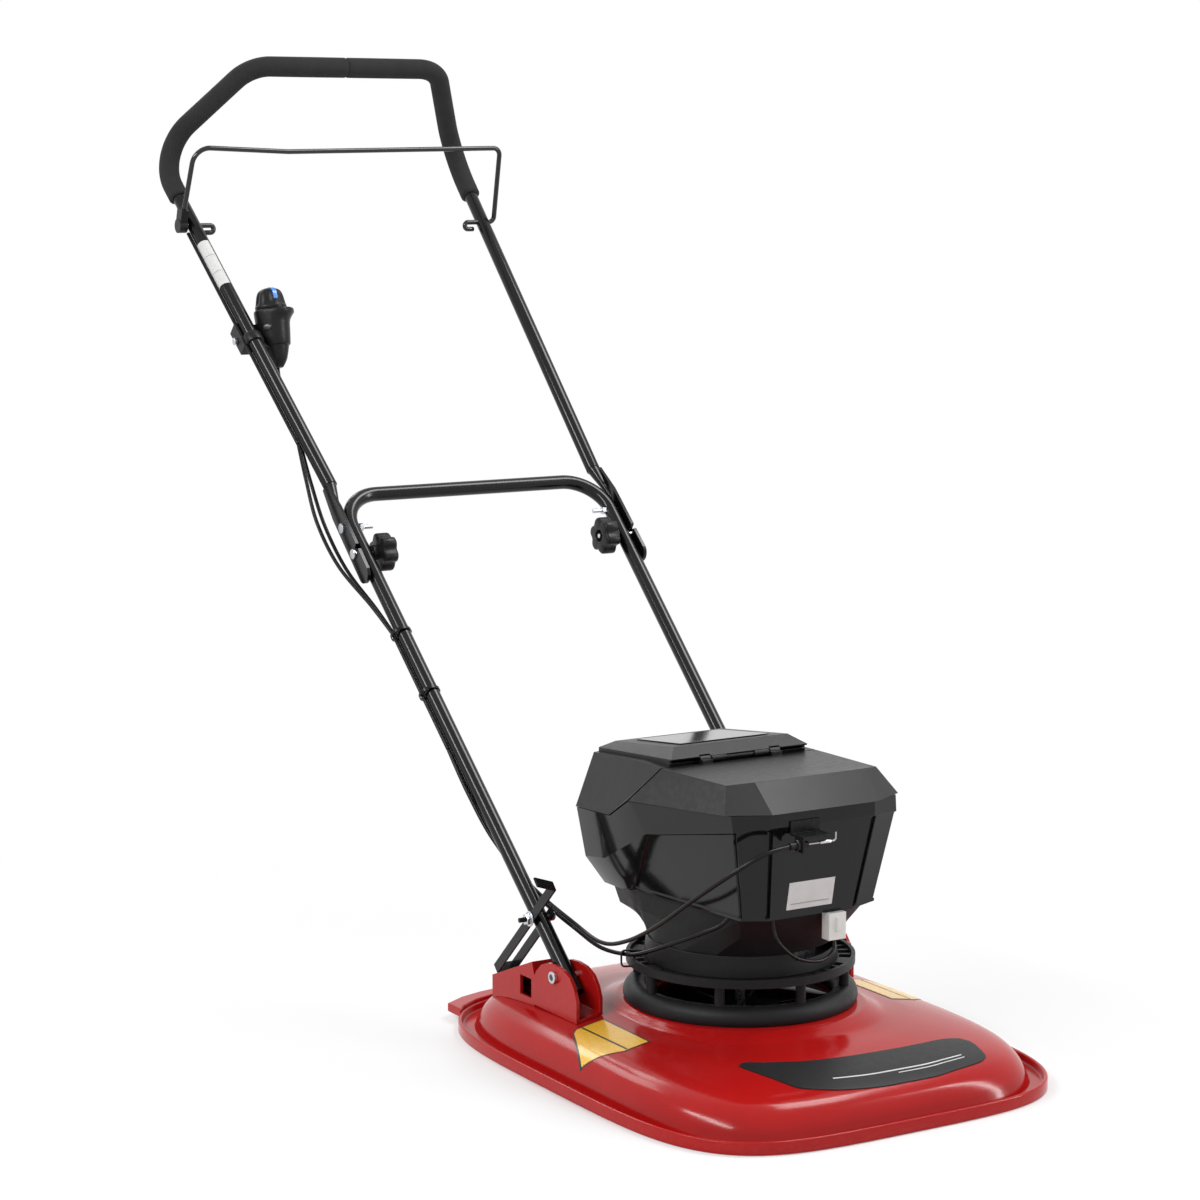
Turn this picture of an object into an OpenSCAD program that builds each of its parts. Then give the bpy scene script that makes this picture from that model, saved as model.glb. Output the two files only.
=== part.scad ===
// Battery hover mower: hover deck, motor and battery housing, folding tube handle with bail and cables.
// Forward is -Y, the operator stands at +Y, and the near side that carries the cables is -X.

/* [Deck] */
// Width of the deck over its rim
deck_w = 534; // [520:1:560]
// Length of the deck over its rim
deck_l = 672; // [650:1:700]
// Height of the flat round the air intake
deck_h = 72; // [70:1:76]
// Thickness of the deck moulding
deck_wall = 4; // [3:0.5:5]
// Height of the upturned rim
rim_h = 15; // [12:1:18]
// Thickness of the upturned rim
rim_t = 4; // [3:0.5:5]
// Width of the gutter inside the rim
gutter_w = 13; // [10:1:16]
// Thickness of the gutter floor
gutter_t = 6; // [4:0.5:8]
// How far the edge of the air intake lies in from the outside of the lip
intake_in = 27; // [24:1:30]
// How far the rear skirt stands out behind the rim
skirt_out = 20; // [14:1:26]
// Thickness of the rear skirt
skirt_t = 11; // [8:1:14]

/* [Vent ring and motor] */
// Distance of the motor axis behind the middle of the deck
motor_y = 8; // [4:1:12]
// Thickness of the rounded intake lip
lip_d = 30; // [26:1:32]
// How far the intake lip stands out past the vent ring
lip_over = 3.5; // [2:0.5:6]
// Outer diameter of the vent ring
ring_od = 271; // [262:1:280]
// Height of the top of the vent ring above the ground
ring_z = 126; // [122:1:132]
// Height of the vent ring's rim
ring_h = 10; // [8:1:12]
// Number of slots in the vent ring between two posts
bay_slots = 4; // [3:1:5]
// Number of posts under the vent ring
post_count = 8; // [6:1:10]
// Diameter of a post
post_d = 12; // [9:1:14]
// How far the motor base stands in from the edge of the vent ring
base_in = 20.5; // [18:0.5:24]
// Height of the motor base above the vent ring
base_h = 26; // [22:1:28]
// How far the motor can stands in from the motor base
can_in = 27; // [22:1:34]
// Diameter of the motor shaft
shaft_d = 12; // [10:0.5:14]
// Diameter of the impeller
impeller_d = 270; // [240:1:280]
// Length of the cutter blade
blade_l = 450; // [420:1:456]
// Width of the cutter blade
blade_w = 48; // [40:1:56]

/* [Housing] */
// Width of the housing
casing_w = 252; // [244:1:262]
// Length of the housing
casing_l = 362; // [350:1:374]
// Height of the housing from its front lower edge to the top of the cap
casing_h = 175; // [165:1:185]
// Height of the housing's front lower edge above the ground
casing_z = 200; // [197:1:206]
// Wall of the housing mouldings
casing_wall = 3; // [2.5:0.5:4]
// Width of the battery pack
pack_w = 150; // [130:1:160]
// Length of the battery pack
pack_l = 120; // [100:1:126]
// Height of the battery pack
pack_h = 78; // [60:1:84]

/* [Handle] */
// Outer diameter of the handle tube
tube_d = 19; // [18:0.5:20]
// Wall of the handle tube
tube_wall = 1.6; // [1.2:0.1:2]
// Angle of the handle above the ground
handle_angle = 42.7; // [42:0.1:44]
// Distance of the handle pivot behind the middle of the deck
pivot_y = 103; // [98:1:108]
// Height of the handle pivot above the ground
pivot_z = 99; // [97:1:104]
// How far the handle pivots lie in from the sides of the deck
pivot_in = 86; // [83:1:90]
// How far each lower tube spreads outwards from the pivot to the cross tube
cross_spread = 17; // [13:1:21]
// Distance from the pivot to the cross tube, along the handle
lower_len = 761; // [750:1:780]
// Bend radius of the lower handle's corners
cross_bend = 55; // [48:1:60]
// Distance from the cross tube down to the fold bolts, along the handle
fold_drop = 55; // [49:1:61]
// Distance from the fold bolts to the clamp bolts, along the handle
clamp_step = 44; // [40:1:50]
// Distance from the cross tube up to the upper bends, along the handle
upper_run = 655; // [640:1:670]
// How far each upper tube spreads outwards from the cross tube to the upper bends
upper_spread = 40; // [36:1:44]
// How far the corners of the top grip bar lie in from the upper bends
bar_in = 91; // [86:1:98]
// Rise of the top grip bar out of the plane of the handle
bar_rise = 173; // [165:1:180]
// Outer diameter of the foam grip
foam_d = 27; // [25:0.5:29]
// Distance from the upper bends down to the foam's lower end, along the handle
foam_drop = 91; // [81:1:106]

/* [Controls] */
// Diameter of the bail wire
bail_d = 7; // [6:0.5:8]
// Distance from the upper bends down to the bail's own pivot, along the handle
bail_drop = 146; // [136:1:156]
// Distance of the bail's bar along the handle beyond its pivot
bail_reach = 48; // [42:1:54]
// Height of the bail's bar out of the plane of the handle
bail_rise = 102; // [96:1:110]
// Distance from the upper bends down to the switch pod, along the handle
pod_down = 354; // [341:1:366]
// Length of the switch pod's body
pod_l = 80; // [74:1:86]
// Diameter of the switch pod's body
pod_d = 48; // [44:1:52]
// Tilt of the switch pod away from the handle
pod_tilt = 34; // [30:1:38]
// Diameter of a star knob
knob_d = 50; // [44:1:54]
// Diameter of the bail cable and the switch cable
cable_d = 5; // [4.5:0.1:5.5]
// Length of the park strut below its bolt
strut_drop = 117; // [112:1:122]
// Length of the park strut above its bolt
strut_rise = 74; // [66:1:80]
// Width of the park strut's strip
strip_w = 12; // [10:0.5:14]

/* [Hidden] */
$fn = 48;

// Shared clearances
overrun = 1;
seat_gap = 0.3;
seam_gap = 0.6;
run_fit = 0.05;
clear_gap = 1.5;

// Deck outline and dome: shares of the way in from the gutter to the intake, and of the rise
deck_facets = 72;
rim_power = 4.27;
hole_power = 2;
dome_shares = [[0, 0], [0.03, 0.24], [0.07, 0.42], [0.12, 0.54], [0.2, 0.63], [0.34, 0.71], [0.54, 0.79],
               [0.72, 0.85], [0.79, 0.93], [0.84, 0.985], [1, 1]];
lip_od = ring_od + 2 * lip_over;
intake_r = lip_od / 2 - intake_in;
foot_in = rim_t + gutter_w;
foot_a = deck_w / 2 - foot_in;
foot_b = deck_l / 2 - foot_in;
skirt_z = 8;
skirt_side_share = 0.84;
skirt_back_share = 0.8;

function mix(a, b, t) = a + (b - a) * t;
function unit(v) = v / norm(v);
function dome_z(w) = mix(gutter_t, deck_h, lookup(w, dome_shares));
function outline_r(t, a, b, n) = pow(pow(abs(cos(t)) / a, n) + pow(abs(sin(t)) / b, n), -1 / n);
function outline(a, b, n, y = 0) =
    [for (i = [0 : deck_facets - 1])
        let (t = 360 * i / deck_facets, r = outline_r(t, a, b, n)) [r * cos(t), y + r * sin(t)]];
function at_height(ring, z) = [for (p = ring) [p[0], p[1], z]];
function dome_ring(w, inward, z) =
    at_height(outline(mix(foot_a, intake_r, w) - inward, mix(foot_b, intake_r, w) - inward,
                      mix(rim_power, hole_power, w), motor_y * w), z);
// Share of the way in at a place on the deck, found by halving, and the height of the deck's top there
halvings = 14;
function way_in(x, y, lo = 0, hi = 1, k = halvings) =
    let (m = (lo + hi) / 2, dy = y - motor_y * m)
    k == 0 ? m
    : norm([x, dy]) > outline_r(atan2(dy, x), mix(foot_a, intake_r, m), mix(foot_b, intake_r, m),
                                mix(rim_power, hole_power, m))
    ? way_in(x, y, lo, m, k - 1) : way_in(x, y, m, hi, k - 1);
function dome_at(x, y) = dome_z(way_in(x, y));

// Handle frame: local Y runs up the handle from the pivot and local Z is its upper normal
handle_dir = [0, cos(handle_angle), sin(handle_angle)];
handle_up = [0, -sin(handle_angle), cos(handle_angle)];
function on_handle(x, s, n) = [x, pivot_y, pivot_z] + handle_dir * s + handle_up * n;
pivot_half = deck_w / 2 - pivot_in;
cross_half = pivot_half + cross_spread;
upper_half = cross_half + upper_spread;
bar_half = upper_half - bar_in;
upper_len = lower_len + upper_run;
fold_s = lower_len - fold_drop;
foam_s = upper_len - foam_drop;
bail_s = upper_len - bail_drop;
pod_s = upper_len - pod_down;
function lower_x(s) = mix(pivot_half, cross_half, s / lower_len);
plate_t = 4.4;
plate_w = 27;
plate_x = lower_x(fold_s) + tube_d / 2 + seat_gap;
clamp_s = fold_s - clamp_step;
plate_margin = 46;
plate_s0 = clamp_s - plate_margin;
plate_s1 = fold_s + plate_w;
fold_space = 9;
tube_s0 = lower_len + tube_d / 2 + fold_space;
upper_x0 = plate_x + plate_t - tube_d / 2;
function upper_x(s) = mix(upper_x0, upper_half, (s - tube_s0) / (upper_len - tube_s0));
corner_bend = 62;
bar_bend = 50;
bar_back = 10;
bore_d = tube_d - 2 * tube_wall;
lower_end = 26;
lower_path = [[-lower_x(-lower_end), -lower_end, 0], [-cross_half, lower_len, 0],
              [cross_half, lower_len, 0], [lower_x(-lower_end), -lower_end, 0]];
lower_radii = [0, cross_bend, cross_bend, 0];
upper_path = [[-upper_x0, tube_s0, 0], [-upper_half, upper_len, 0], [-bar_half, upper_len - bar_back,
    bar_rise],
              [bar_half, upper_len - bar_back, bar_rise], [upper_half, upper_len, 0], [upper_x0, tube_s0,
                  0]];
upper_radii = [0, corner_bend, bar_bend, bar_bend, corner_bend, 0];

// Bend geometry of a path's corner: tangent length, and centre of the bend
function turn(a, b, c) = acos(unit(b - a) * unit(c - b));
function tangent(a, b, c, r) = r * tan(turn(a, b, c) / 2);
function bend_centre(a, b, c, r) = b + unit(unit(c - b) - unit(b - a)) * r / cos(turn(a, b, c) / 2);
// The grip reaches furthest back on the outside of its upper bend
grip_centre = bend_centre(upper_path[0], upper_path[1], upper_path[2], corner_bend);
grip_normal = unit(cross(upper_path[1] - upper_path[0], upper_path[2] - upper_path[1]));
back_dir = [0, cos(handle_angle), -sin(handle_angle)];
back_in_plane = back_dir - grip_normal * (back_dir * grip_normal);
grip_back = on_handle(0, grip_centre[1],
    grip_centre[2])[1] + corner_bend * norm(back_in_plane) + foam_d / 2;
deck_y = deck_l / 4 - grip_back / 2;

module at_deck() { translate([0, deck_y, 0]) children(); }
module at_motor() { translate([0, deck_y + motor_y, 0]) children(); }
module at_handle() { translate([0, deck_y + pivot_y, pivot_z]) rotate([handle_angle, 0, 0]) children(); }
module both_sides() { children(); mirror([1, 0, 0]) children(); }

// A straight round bar between two points
module rod(p, q, d) {
    v = q - p;
    translate(p) rotate([0, acos(v[2] / norm(v)), atan2(v[1], v[0])]) cylinder(h = norm(v), d = d);
}

// One bend of a bar: an arc of a ring in the plane of the three points
module bend(a, b, c, r, d) {
    centre = bend_centre(a, b, c, r);
    e1 = unit(b - unit(b - a) * tangent(a, b, c, r) - centre);
    e2 = unit(b - a);
    e3 = cross(e1, e2);
    multmatrix([[e1[0], e2[0], e3[0], centre[0]], [e1[1], e2[1], e3[1], centre[1]], [e1[2], e2[2], e3[2],
        centre[2]]])
        rotate_extrude(angle = turn(a, b, c), start = 0) translate([r, 0]) circle(d = d);
}

// A bar bent along a path of corners, with a radius at each corner: each straight runs a little way into its
// bends, which are a hair thicker, so that the pieces join
bend_proud = 0.1;
lap_share = 0.7;
module pipe(path, radii, d) {
    last = len(path) - 1;
    starts = [for (i = [0 : last]) i == 0 || i == last ? 0
              : tangent(path[i - 1], path[i], path[i + 1],
                  radii[i]) - lap_share * sqrt(2 * radii[i] * bend_proud)];
    for (i = [0 : last - 1]) {
        u = unit(path[i + 1] - path[i]);
        rod(path[i] + u * starts[i], path[i + 1] - u * starts[i + 1], d);
    }
    for (i = [1 : last - 1]) bend(path[i - 1], path[i], path[i + 1], radii[i], d + 2 * bend_proud);
}

// A solid whose skin joins rings of equal point counts, closed by fans at both ends
module loft(rings) {
    n = len(rings[0]);
    k = len(rings);
    low = [for (c = [0 : 2]) [for (p = rings[0]) p[c]] * [for (p = rings[0]) 1 / n]];
    high = [for (c = [0 : 2]) [for (p = rings[k - 1]) p[c]] * [for (p = rings[0]) 1 / n]];
    points = concat([for (r = rings) for (p = r) p], [low, high]);
    sides = [for (j = [0 : k - 2]) for (i = [0 : n - 1]) for (f = quad(j * n, (j + 1) * n, i, n)) f];
    floor_fan = [for (i = [0 : n - 1]) [k * n, i, (i + 1) % n]];
    top_fan = [for (i = [0 : n - 1]) [k * n + 1, (k - 1) * n + (i + 1) % n, (k - 1) * n + i]];
    polyhedron(points, concat(sides, floor_fan, top_fan), convexity = 6);
}
function quad(lower, upper, i, n) =
    [[lower + i, upper + i, upper + (i + 1) % n], [lower + i, upper + (i + 1) % n, lower + (i + 1) % n]];

// A closed band: the last ring joins the first again
module band(rings) {
    n = len(rings[0]);
    k = len(rings);
    polyhedron([for (r = rings) for (p = r) p],
               [for (j = [0 : k - 1]) for (i = [0 : n - 1]) for (f = quad(j * n, ((j + 1) % k) * n, i,
                   n)) f],
               convexity = 6);
}

// A round cord through its route's points, with a straight start and finish
cord_sides = 8;
cord_steps = 2;
function spline(a, b, c, d, t) =
    (b * 2 + (c - a) * t + (a * 2 - b * 5 + c * 4 - d) * t * t + (b * 3 - a - c * 3 + d) * t * t * t) / 2;
function smooth(route) =
    let (last = len(route) - 1)
    concat([for (i = [0 : last - 1]) for (k = [0 : cord_steps - 1])
                spline(route[max(i - 1, 0)], route[i], route[i + 1], route[min(i + 2, last)],
                    k / cord_steps)],
           [route[last]]);
function heading(path, i) = unit(path[min(i + 1, len(path) - 1)] - path[max(i - 1, 0)]);
function cord_ring(p, t, d, side) =
    let (u = unit(cross(t, side)), v = cross(t, u))
    [for (i = [0 : cord_sides - 1]) let (a = -360 * i / cord_sides) p + (u * cos(a) + v * sin(a)) * d / 2];
module cord(route, d, side = [0.2, 0.1, 1]) {
    path = smooth(route);
    loft([for (i = [0 : len(path) - 1]) cord_ring(path[i], heading(path, i), d, side)]);
}

// Pivot brackets: outline shares of the ear's length and height
channel_play = 4;
channel_w = tube_d + 2 * channel_play;
ear_t = 4.5;
ear_front = 50;
ear_l = 98;
ear_top = 15;
ear_shares = [[0, 0], [0, 0.45], [0.06, 0.68], [0.16, 0.86], [0.32, 0.97], [0.5, 1], [0.68, 0.98],
              [0.84, 0.88], [0.95, 0.72], [1, 0.6]];
block_l = 102;
block_wall = 4;
block_top = 6;
notch_w = 8;
notch_z_share = 0.6;
window_y_shares = [0.07, 0.33];
window_z_shares = [0.16, 0.6];
block_steps = 5;
block_rows = 8;
bolt_d = 8;
bolt_head_d = 15;
bolt_head_t = 4;
bolt_nut_t = 6;
bolt_nut_d = 14;
bracket_out = pivot_half + channel_w / 2 + ear_t;
bracket_in = pivot_half - channel_w / 2 - ear_t;
bracket_out_z = dome_at(bracket_out, pivot_y - ear_front) + seam_gap;
bracket_in_z = dome_at(bracket_in, pivot_y - ear_front) + seam_gap;
bracket_floor_t = 4;
ear_z0 = bracket_out_z;
ear_z1 = pivot_z + ear_top;
ear_y0 = pivot_y - ear_front;
ear_y1 = ear_y0 + ear_l;

// Park strut, in the handle frame: it stands square to the tube and tilts a little up the handle
strut_s = 84;
strut_tilt = 3.7;
strip_t = 2.5;
strut_bolt_d = 6;
strut_head_d = 12;
strut_head_t = 4;
strut_nut_t = 5;
tab_l = 36;
tab_angle = 62;
strut_x = lower_x(strut_s);
strut_out = strut_x + tube_d / 2 + clear_gap + strip_t;
strut_in = strut_x - tube_d / 2 - clear_gap - strip_t;
strut_axis = on_handle(0, strut_s, 0);
strut_foot_angle = handle_angle + strut_tilt;
strut_foot = strut_axis + [0, sin(strut_foot_angle), -cos(strut_foot_angle)] * strut_drop
             - [0, cos(strut_foot_angle), sin(strut_foot_angle)] * strip_w / 2;
block_y0 = ear_y1;
block_y1 = ear_y1 + block_l;
block_z0 = ear_z1 - block_top;
block_fall = (block_z0 - strut_foot[2] + seat_gap) / (strut_foot[1] - block_y0);
function block_z(y) = block_z0 - block_fall * (y - block_y0);

// Intake, vent ring and motor base
lip_r = lip_od / 2 - lip_d / 2;
lip_share = 0.2;
lip_z = deck_h + lip_share * lip_d;
post_sink = 0.9;
post_seat = lip_z + lip_d / 2 - post_sink;
ring_plate_t = 4;
ring_plate_drop = 4;
ring_plate_z = ring_z - ring_plate_drop - ring_plate_t;
ring_wall = 4.5;
ring_bore = 60;
slot_share = 0.68;
slot_r1 = ring_od / 2 - ring_wall;
base_od = ring_od - 2 * base_in;
can_od = base_od - 2 * can_in;
slot_r0 = base_od / 2 + overrun;
base_wall = 3.5;
base_plate_t = 4;
base_z = ring_plate_z + ring_plate_t;
base_top = base_z + base_h;
base_taper = 4;
notch_h = 9;
notch_turn = 58;
boss_d = 42;
boss_h = 16;
bearing_t = 8;
bearing_od = shaft_d + 2 * bearing_t;
bearing_h = 8;
bearing_lip = 2;
can_wall = 4;
can_z = base_z + base_plate_t;
can_h = 56;
stator_h = 24;
stator_t = 24;
air_gap = 1;
rotor_h = 26;
rotor_gap = 3;
shaft_z0 = 24;
rotor_z = base_z + boss_h + rotor_gap;
stator_z = rotor_z + (rotor_h - stator_h) / 2;

// Blades under the deck
blade_t = 3;
blade_z = 20;
blade_bolt_head = 5;
blade_bolt_d = 22;
fan_z = 38;
fan_plate_t = 3;
fan_vanes = 8;
fan_vane_t = 3;
fan_vane_h = 14;
fan_hub_d = 50;
vane_start_share = 0.42;
blade_lift = 5;
blade_ear_share = 0.16;

// Housing rings, as shares of the half width, the length and the height, from the front to the back
casing_top_shares = [[0.57, -0.434, 0.731], [0.905, -0.387, 0.731], [1, 0.16, 0.629], [1, 0.271, 0.491],
                     [0.937, 0.517, 0.451], [0.635, 0.572, 0.446]];
casing_mid_shares = [[0.57, -0.434, 0.64], [0.897, -0.395, 0.629], [1, 0.052, 0.451], [0.984, 0.309, 0.183],
                     [0.92, 0.47, 0.126], [0.62, 0.525, 0.114]];
casing_low_shares = [[0.476, -0.373, 0], [0.738, -0.356, 0.017], [0.865, 0.21, 0.006], [0.857, 0.276,
    -0.029],
                     [0.794, 0.42, -0.05], [0.54, 0.464, -0.057]];
cover_low_shares = [[0.57, -0.445, 0.731], [0.952, -0.378, 0.731], [1, 0.16, 0.629]];
cover_top_shares = [[0.57, -0.345, 0.909], [0.825, -0.318, 0.897], [0.865, 0.03, 0.886]];
lid_low_shares = [[1, 0.16, 0.629], [1, 0.271, 0.491], [0.937, 0.517, 0.451], [0.635, 0.572, 0.446]];
lid_top_shares = [[0.865, 0.03, 0.886], [0.84, 0.16, 0.886], [0.78, 0.49, 0.83], [0.54, 0.53, 0.82]];
cap_low_shares = [[0.76, 0.053, 0.86], [0.72, 0.5, 0.8]];
cap_mid_shares = [[0.76, 0.03, 0.94], [0.72, 0.5, 0.862]];
cap_top_shares = [[0.64, 0.085, 1], [0.61, 0.455, 0.914]];
panel_low_shares = [[0.5, 0.12, 0.995], [0.47, 0.4, 0.929]];
tray_scale_share = 0.93;
tray_drop = 1.2;
tray_front_share = 0.5;
tray_rear_share = 0.92;
tray_mid_share = 0.5;
panel_proud = 1;
lid_seam = 2.5;
function casing_point(s, grow = 0, up = 0) =
    [s[0] * casing_w / 2 + grow, s[1] * casing_l + sign(s[1]) * grow, casing_z + s[2] * casing_h + up];
function half_ring(shares, grow = 0, up = 0) = [for (s = shares) casing_point(s, grow, up)];
function full_ring(half) =
    concat(half, [for (i = [len(half) - 1 : -1 : 0]) [-half[i][0], half[i][1], half[i][2]]]);
function casing_ring(shares, grow = 0, up = 0) = full_ring(half_ring(shares, grow, up));
casing_floor = casing_point(casing_low_shares[1])[2];
casing_front = casing_point(casing_top_shares[0])[1];
inner_floor = casing_floor + casing_wall;
hinge_d = 5;
knuckle_d = 8;
knuckle_x0 = 20;
knuckle_x1 = 40;
lug_x0 = 42;
lug_x1 = 56;
cover_edge = casing_point(cover_top_shares[2]);
hinge_y = cover_edge[1] + hinge_d / 2;
hinge_z = cover_edge[2] + clear_gap + knuckle_d / 2;

// Battery, its terminal block and the controller board, on the housing's floor
pack_y = 28;
terminal_w = 60;
terminal_l = 24;
terminal_h = 40;
board_w = 110;
board_l = 84;
board_t = 1.6;
board_y = -112;
board_z = 10;
standoff_d = 7;
standoff_in = 8;
chip_w = 26;
chip_h = 9;
capacitor_d = 16;
capacitor_h = 25;

// Cable bracket, adjuster, pull wire and connector on the housing's front
bracket_w = 40;
bracket_ear = 8;
shelf_up = 8;
bracket_lap = 6;
bracket_t = 2;
bracket_x = -46;
bracket_reach = 26;
adjuster_d = 8;
adjuster_l = 24;
adjuster_nut_d = 13;
adjuster_nut_t = 4;
adjuster_out = 18;
adjuster_low = 24;
wire_d = 2.4;
wire_l = 51;
wire_hook = 10;
wire_bend = 4;
wire_in = 12;
connector_w = 24;
connector_t = 15;
connector_h = 32;
connector_x = 33;
connector_y = -134;
connector_top = casing_z - seam_gap;
lead_d = 4;
bracket_y = casing_front - seat_gap;
bracket_z = casing_point(casing_mid_shares[0])[2] + bracket_lap;
adjuster_x = bracket_x - adjuster_l / 2 - bracket_t / 2;
adjuster_y = bracket_y - adjuster_out;
adjuster_z = bracket_z - adjuster_low;
shelf_z = adjuster_z + shelf_up;

// Fold and clamp bolts and knobs
fold_bolt_d = 6;
fold_head_d = 13;
fold_head_t = 3;
fold_tail = 19;
fold_nut_d = 11;
fold_nut_t = 5;
knob_h = 20;
knob_lobes = 6;
lobe_share = 0.22;
lobe_place_share = 0.78;
knob_boss_d = 20;
knob_boss_h = 8;
hook_play = 1;
hook_d = fold_bolt_d + 2 * hook_play;
hook_turn = 60;

// Bail
bail_space = 5.5;
bail_out = upper_x(bail_s) + tube_d / 2 + bail_d / 2 + bail_space;
bail_tail = 20;
bail_hook = 7;
bail_back = 14;
bail_hook_bend = 4.8;
bail_in = upper_x(bail_s) - tube_d / 2 - bail_tail;
bail_kink_share = 0.3;
bail_kink = 4;
bail_pull = 7.5;
bail_foot_bend = 8;
bail_near_bend = 24;
bail_far_bend = 12;
kink_bend = 60;
bail_path = [[-bail_in - bail_back, bail_s - bail_hook, -bail_hook],
             [-bail_in, bail_s - bail_hook, -bail_hook],
             [-bail_in, bail_s, 0],
             [-bail_out, bail_s, 0],
             [-bail_out + bail_pull, bail_s + bail_reach, bail_rise],
             [mix(-bail_out, bail_out, bail_kink_share), bail_s + bail_reach - bail_kink,
                 bail_rise - bail_kink],
             [bail_out - bail_pull, bail_s + bail_reach, bail_rise],
             [bail_out, bail_s, 0],
             [bail_in, bail_s, 0],
             [bail_in, bail_s - bail_hook, -bail_hook],
             [bail_in + bail_back, bail_s - bail_hook, -bail_hook]];
bail_radii = [0, bail_hook_bend, bail_hook_bend, bail_foot_bend, bail_near_bend, kink_bend, bail_far_bend,
              bail_foot_bend, bail_hook_bend, bail_hook_bend, 0];
drum_d = 20;
drum_w = 12;
block_rise = 24;
block_w = 16;

// Switch pod: lathe shares of the radius and of the body's length
pod_shares = [[0.36, 0], [0.6, 0.14], [0.8, 0.36], [0.96, 0.7], [1, 0.82], [0.84, 0.9], [0.84, 1]];
brim_share = 1.16;
brim_t = 5;
brim_share_in = 0.25;
head_d = 40;
head_h = 30;
head_crown = 6;
head_groove = 9;
head_groove_depth = 5;
mark_w = 5;
mark_l = 17;
mark_t = 4;
pod_gap = 6;
pod_x = -upper_x(pod_s) + tube_d / 2 + pod_gap + pod_d / 2;
clamp_l = 42;
clamp_wall = 5;
pod_bolt_d = 5;
pod_head_d = 10;
pod_head_t = 4;
pod_back = 36;
pod_under = 34;
pod_bolt_drop = 17;
clamp_low = 8;
pod_drop = 14;
pod_turn = 10;
spigot_d = 10;
spigot_h = 12;

// Cables along the handle: places round the tube, as shares of the tube's radius and the cable's radius
cable_off = (tube_d + cable_d) / 2 + seat_gap;
bail_cable_shares = [-0.92, -0.39];
switch_cable_shares = [-0.39, -0.92];
tie_drop = 233;
tie_step = 97;
held_step = 86;
tie_upper_s = lower_len - tie_drop;
tie_lower_s = tie_upper_s - tie_step;
held_s = tie_lower_s - held_step;
tie_shift = 3;
tie_slack = 0.2;
ring_tie_turn = 162;
ring_tie_out = 10.5;
ring_tie_in = 7;
ring_tie_up = 9.5;
ring_tie_under = 2;
tie_w = 4;
tie_t = 1.4;
upper_cable_run = 99;
upper_cable_s = lower_len + upper_cable_run;
join_gap = 1.5;
function beside(x, s, shares) = [-x + shares[0] * cable_off, s, shares[1] * cable_off];

// Free routes, chosen by hand: the bridge in the handle frame, the rest from the middle of the deck
bail_bridge_mid = [[-223, 805, -14], [-227, 740, -26], [-224, 665, -26], [-212, 585, -12]];
switch_bridge_mid = [[-213, 805, -22], [-213, 740, -34], [-210, 665, -34], [-202, 585, -20]];
bail_arc_mid = [[-198, 311.3, 280.3], [-188, 263.5, 228.8], [-167, 204, 180], [-153, 137, 152], [-155,
    70, 143],
                [-158, 10, 158], [-155, -50, 188], [-146, -105, 226], [-128, -152, 262], [-96, -175, 288]];
switch_arc_mid = [[-191, 309.8, 270.1], [-181, 262.4, 218.2], [-161, 203, 169.3], [-147, 140, 142],
    [-142, 92, 130],
                  [-133.5, 51, 130], [-133, 15, 139], [-126, -35, 160], [-113, -78, 180], [-100, -98, 192]];
switch_arc_end = [-92, -104, 202];
lead_start = [-50, -130.5, 199.2];
lead_mid = [[-46, -135, 176], [-24, -141, 154], [8, -141, 146], [30, -136, 153]];
lead_route = concat([lead_start], lead_mid, [[connector_x, connector_y, connector_top - connector_h]]);
bridge_s = [upper_cable_s - join_gap, tie_upper_s + join_gap];
arc_s = held_s - join_gap;
bail_bridge_route = concat([beside(upper_x(bridge_s[0]), bridge_s[0], bail_cable_shares)], bail_bridge_mid,
                           [beside(lower_x(bridge_s[1]), bridge_s[1], bail_cable_shares)]);
switch_bridge_route = concat([beside(upper_x(bridge_s[0]), bridge_s[0], switch_cable_shares)],
                             switch_bridge_mid,
                             [beside(lower_x(bridge_s[1]), bridge_s[1], switch_cable_shares)]);
function from_handle(p) = on_handle(p[0], p[1], p[2]);
bail_arc_route = concat([from_handle(beside(lower_x(arc_s), arc_s, bail_cable_shares))], bail_arc_mid,
                        [[adjuster_x, adjuster_y, adjuster_z]]);
switch_arc_route = concat([from_handle(beside(lower_x(arc_s), arc_s, switch_cable_shares))],
                          switch_arc_mid, [switch_arc_end]);

// Deck and its fixed fittings
red = [0.72, 0.06, 0.06];
black = [0.06, 0.06, 0.07];
satin = [0.13, 0.13, 0.14];
zinc = [0.75, 0.76, 0.78];
steel = [0.55, 0.56, 0.58];

module deck() {
    outer = [outline(deck_w / 2, deck_l / 2, rim_power), outline(deck_w / 2 - rim_t, deck_l / 2 - rim_t,
        rim_power)];
    last = len(dome_shares) - 1;
    color(red) at_deck() band(concat(
        [at_height(outer[0], 0), at_height(outer[0], rim_h), at_height(outer[1], rim_h),
            at_height(outer[1], gutter_t)],
        [for (s = dome_shares) dome_ring(s[0], 0, dome_z(s[0]))],
        [dome_ring(1, 0, deck_h - deck_wall)],
        [for (i = [last - 1 : -1 : 1]) dome_ring(dome_shares[i][0], deck_wall,
            dome_z(dome_shares[i][0]) - deck_wall)],
        [dome_ring(0, deck_wall, 0)]));
}

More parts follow.
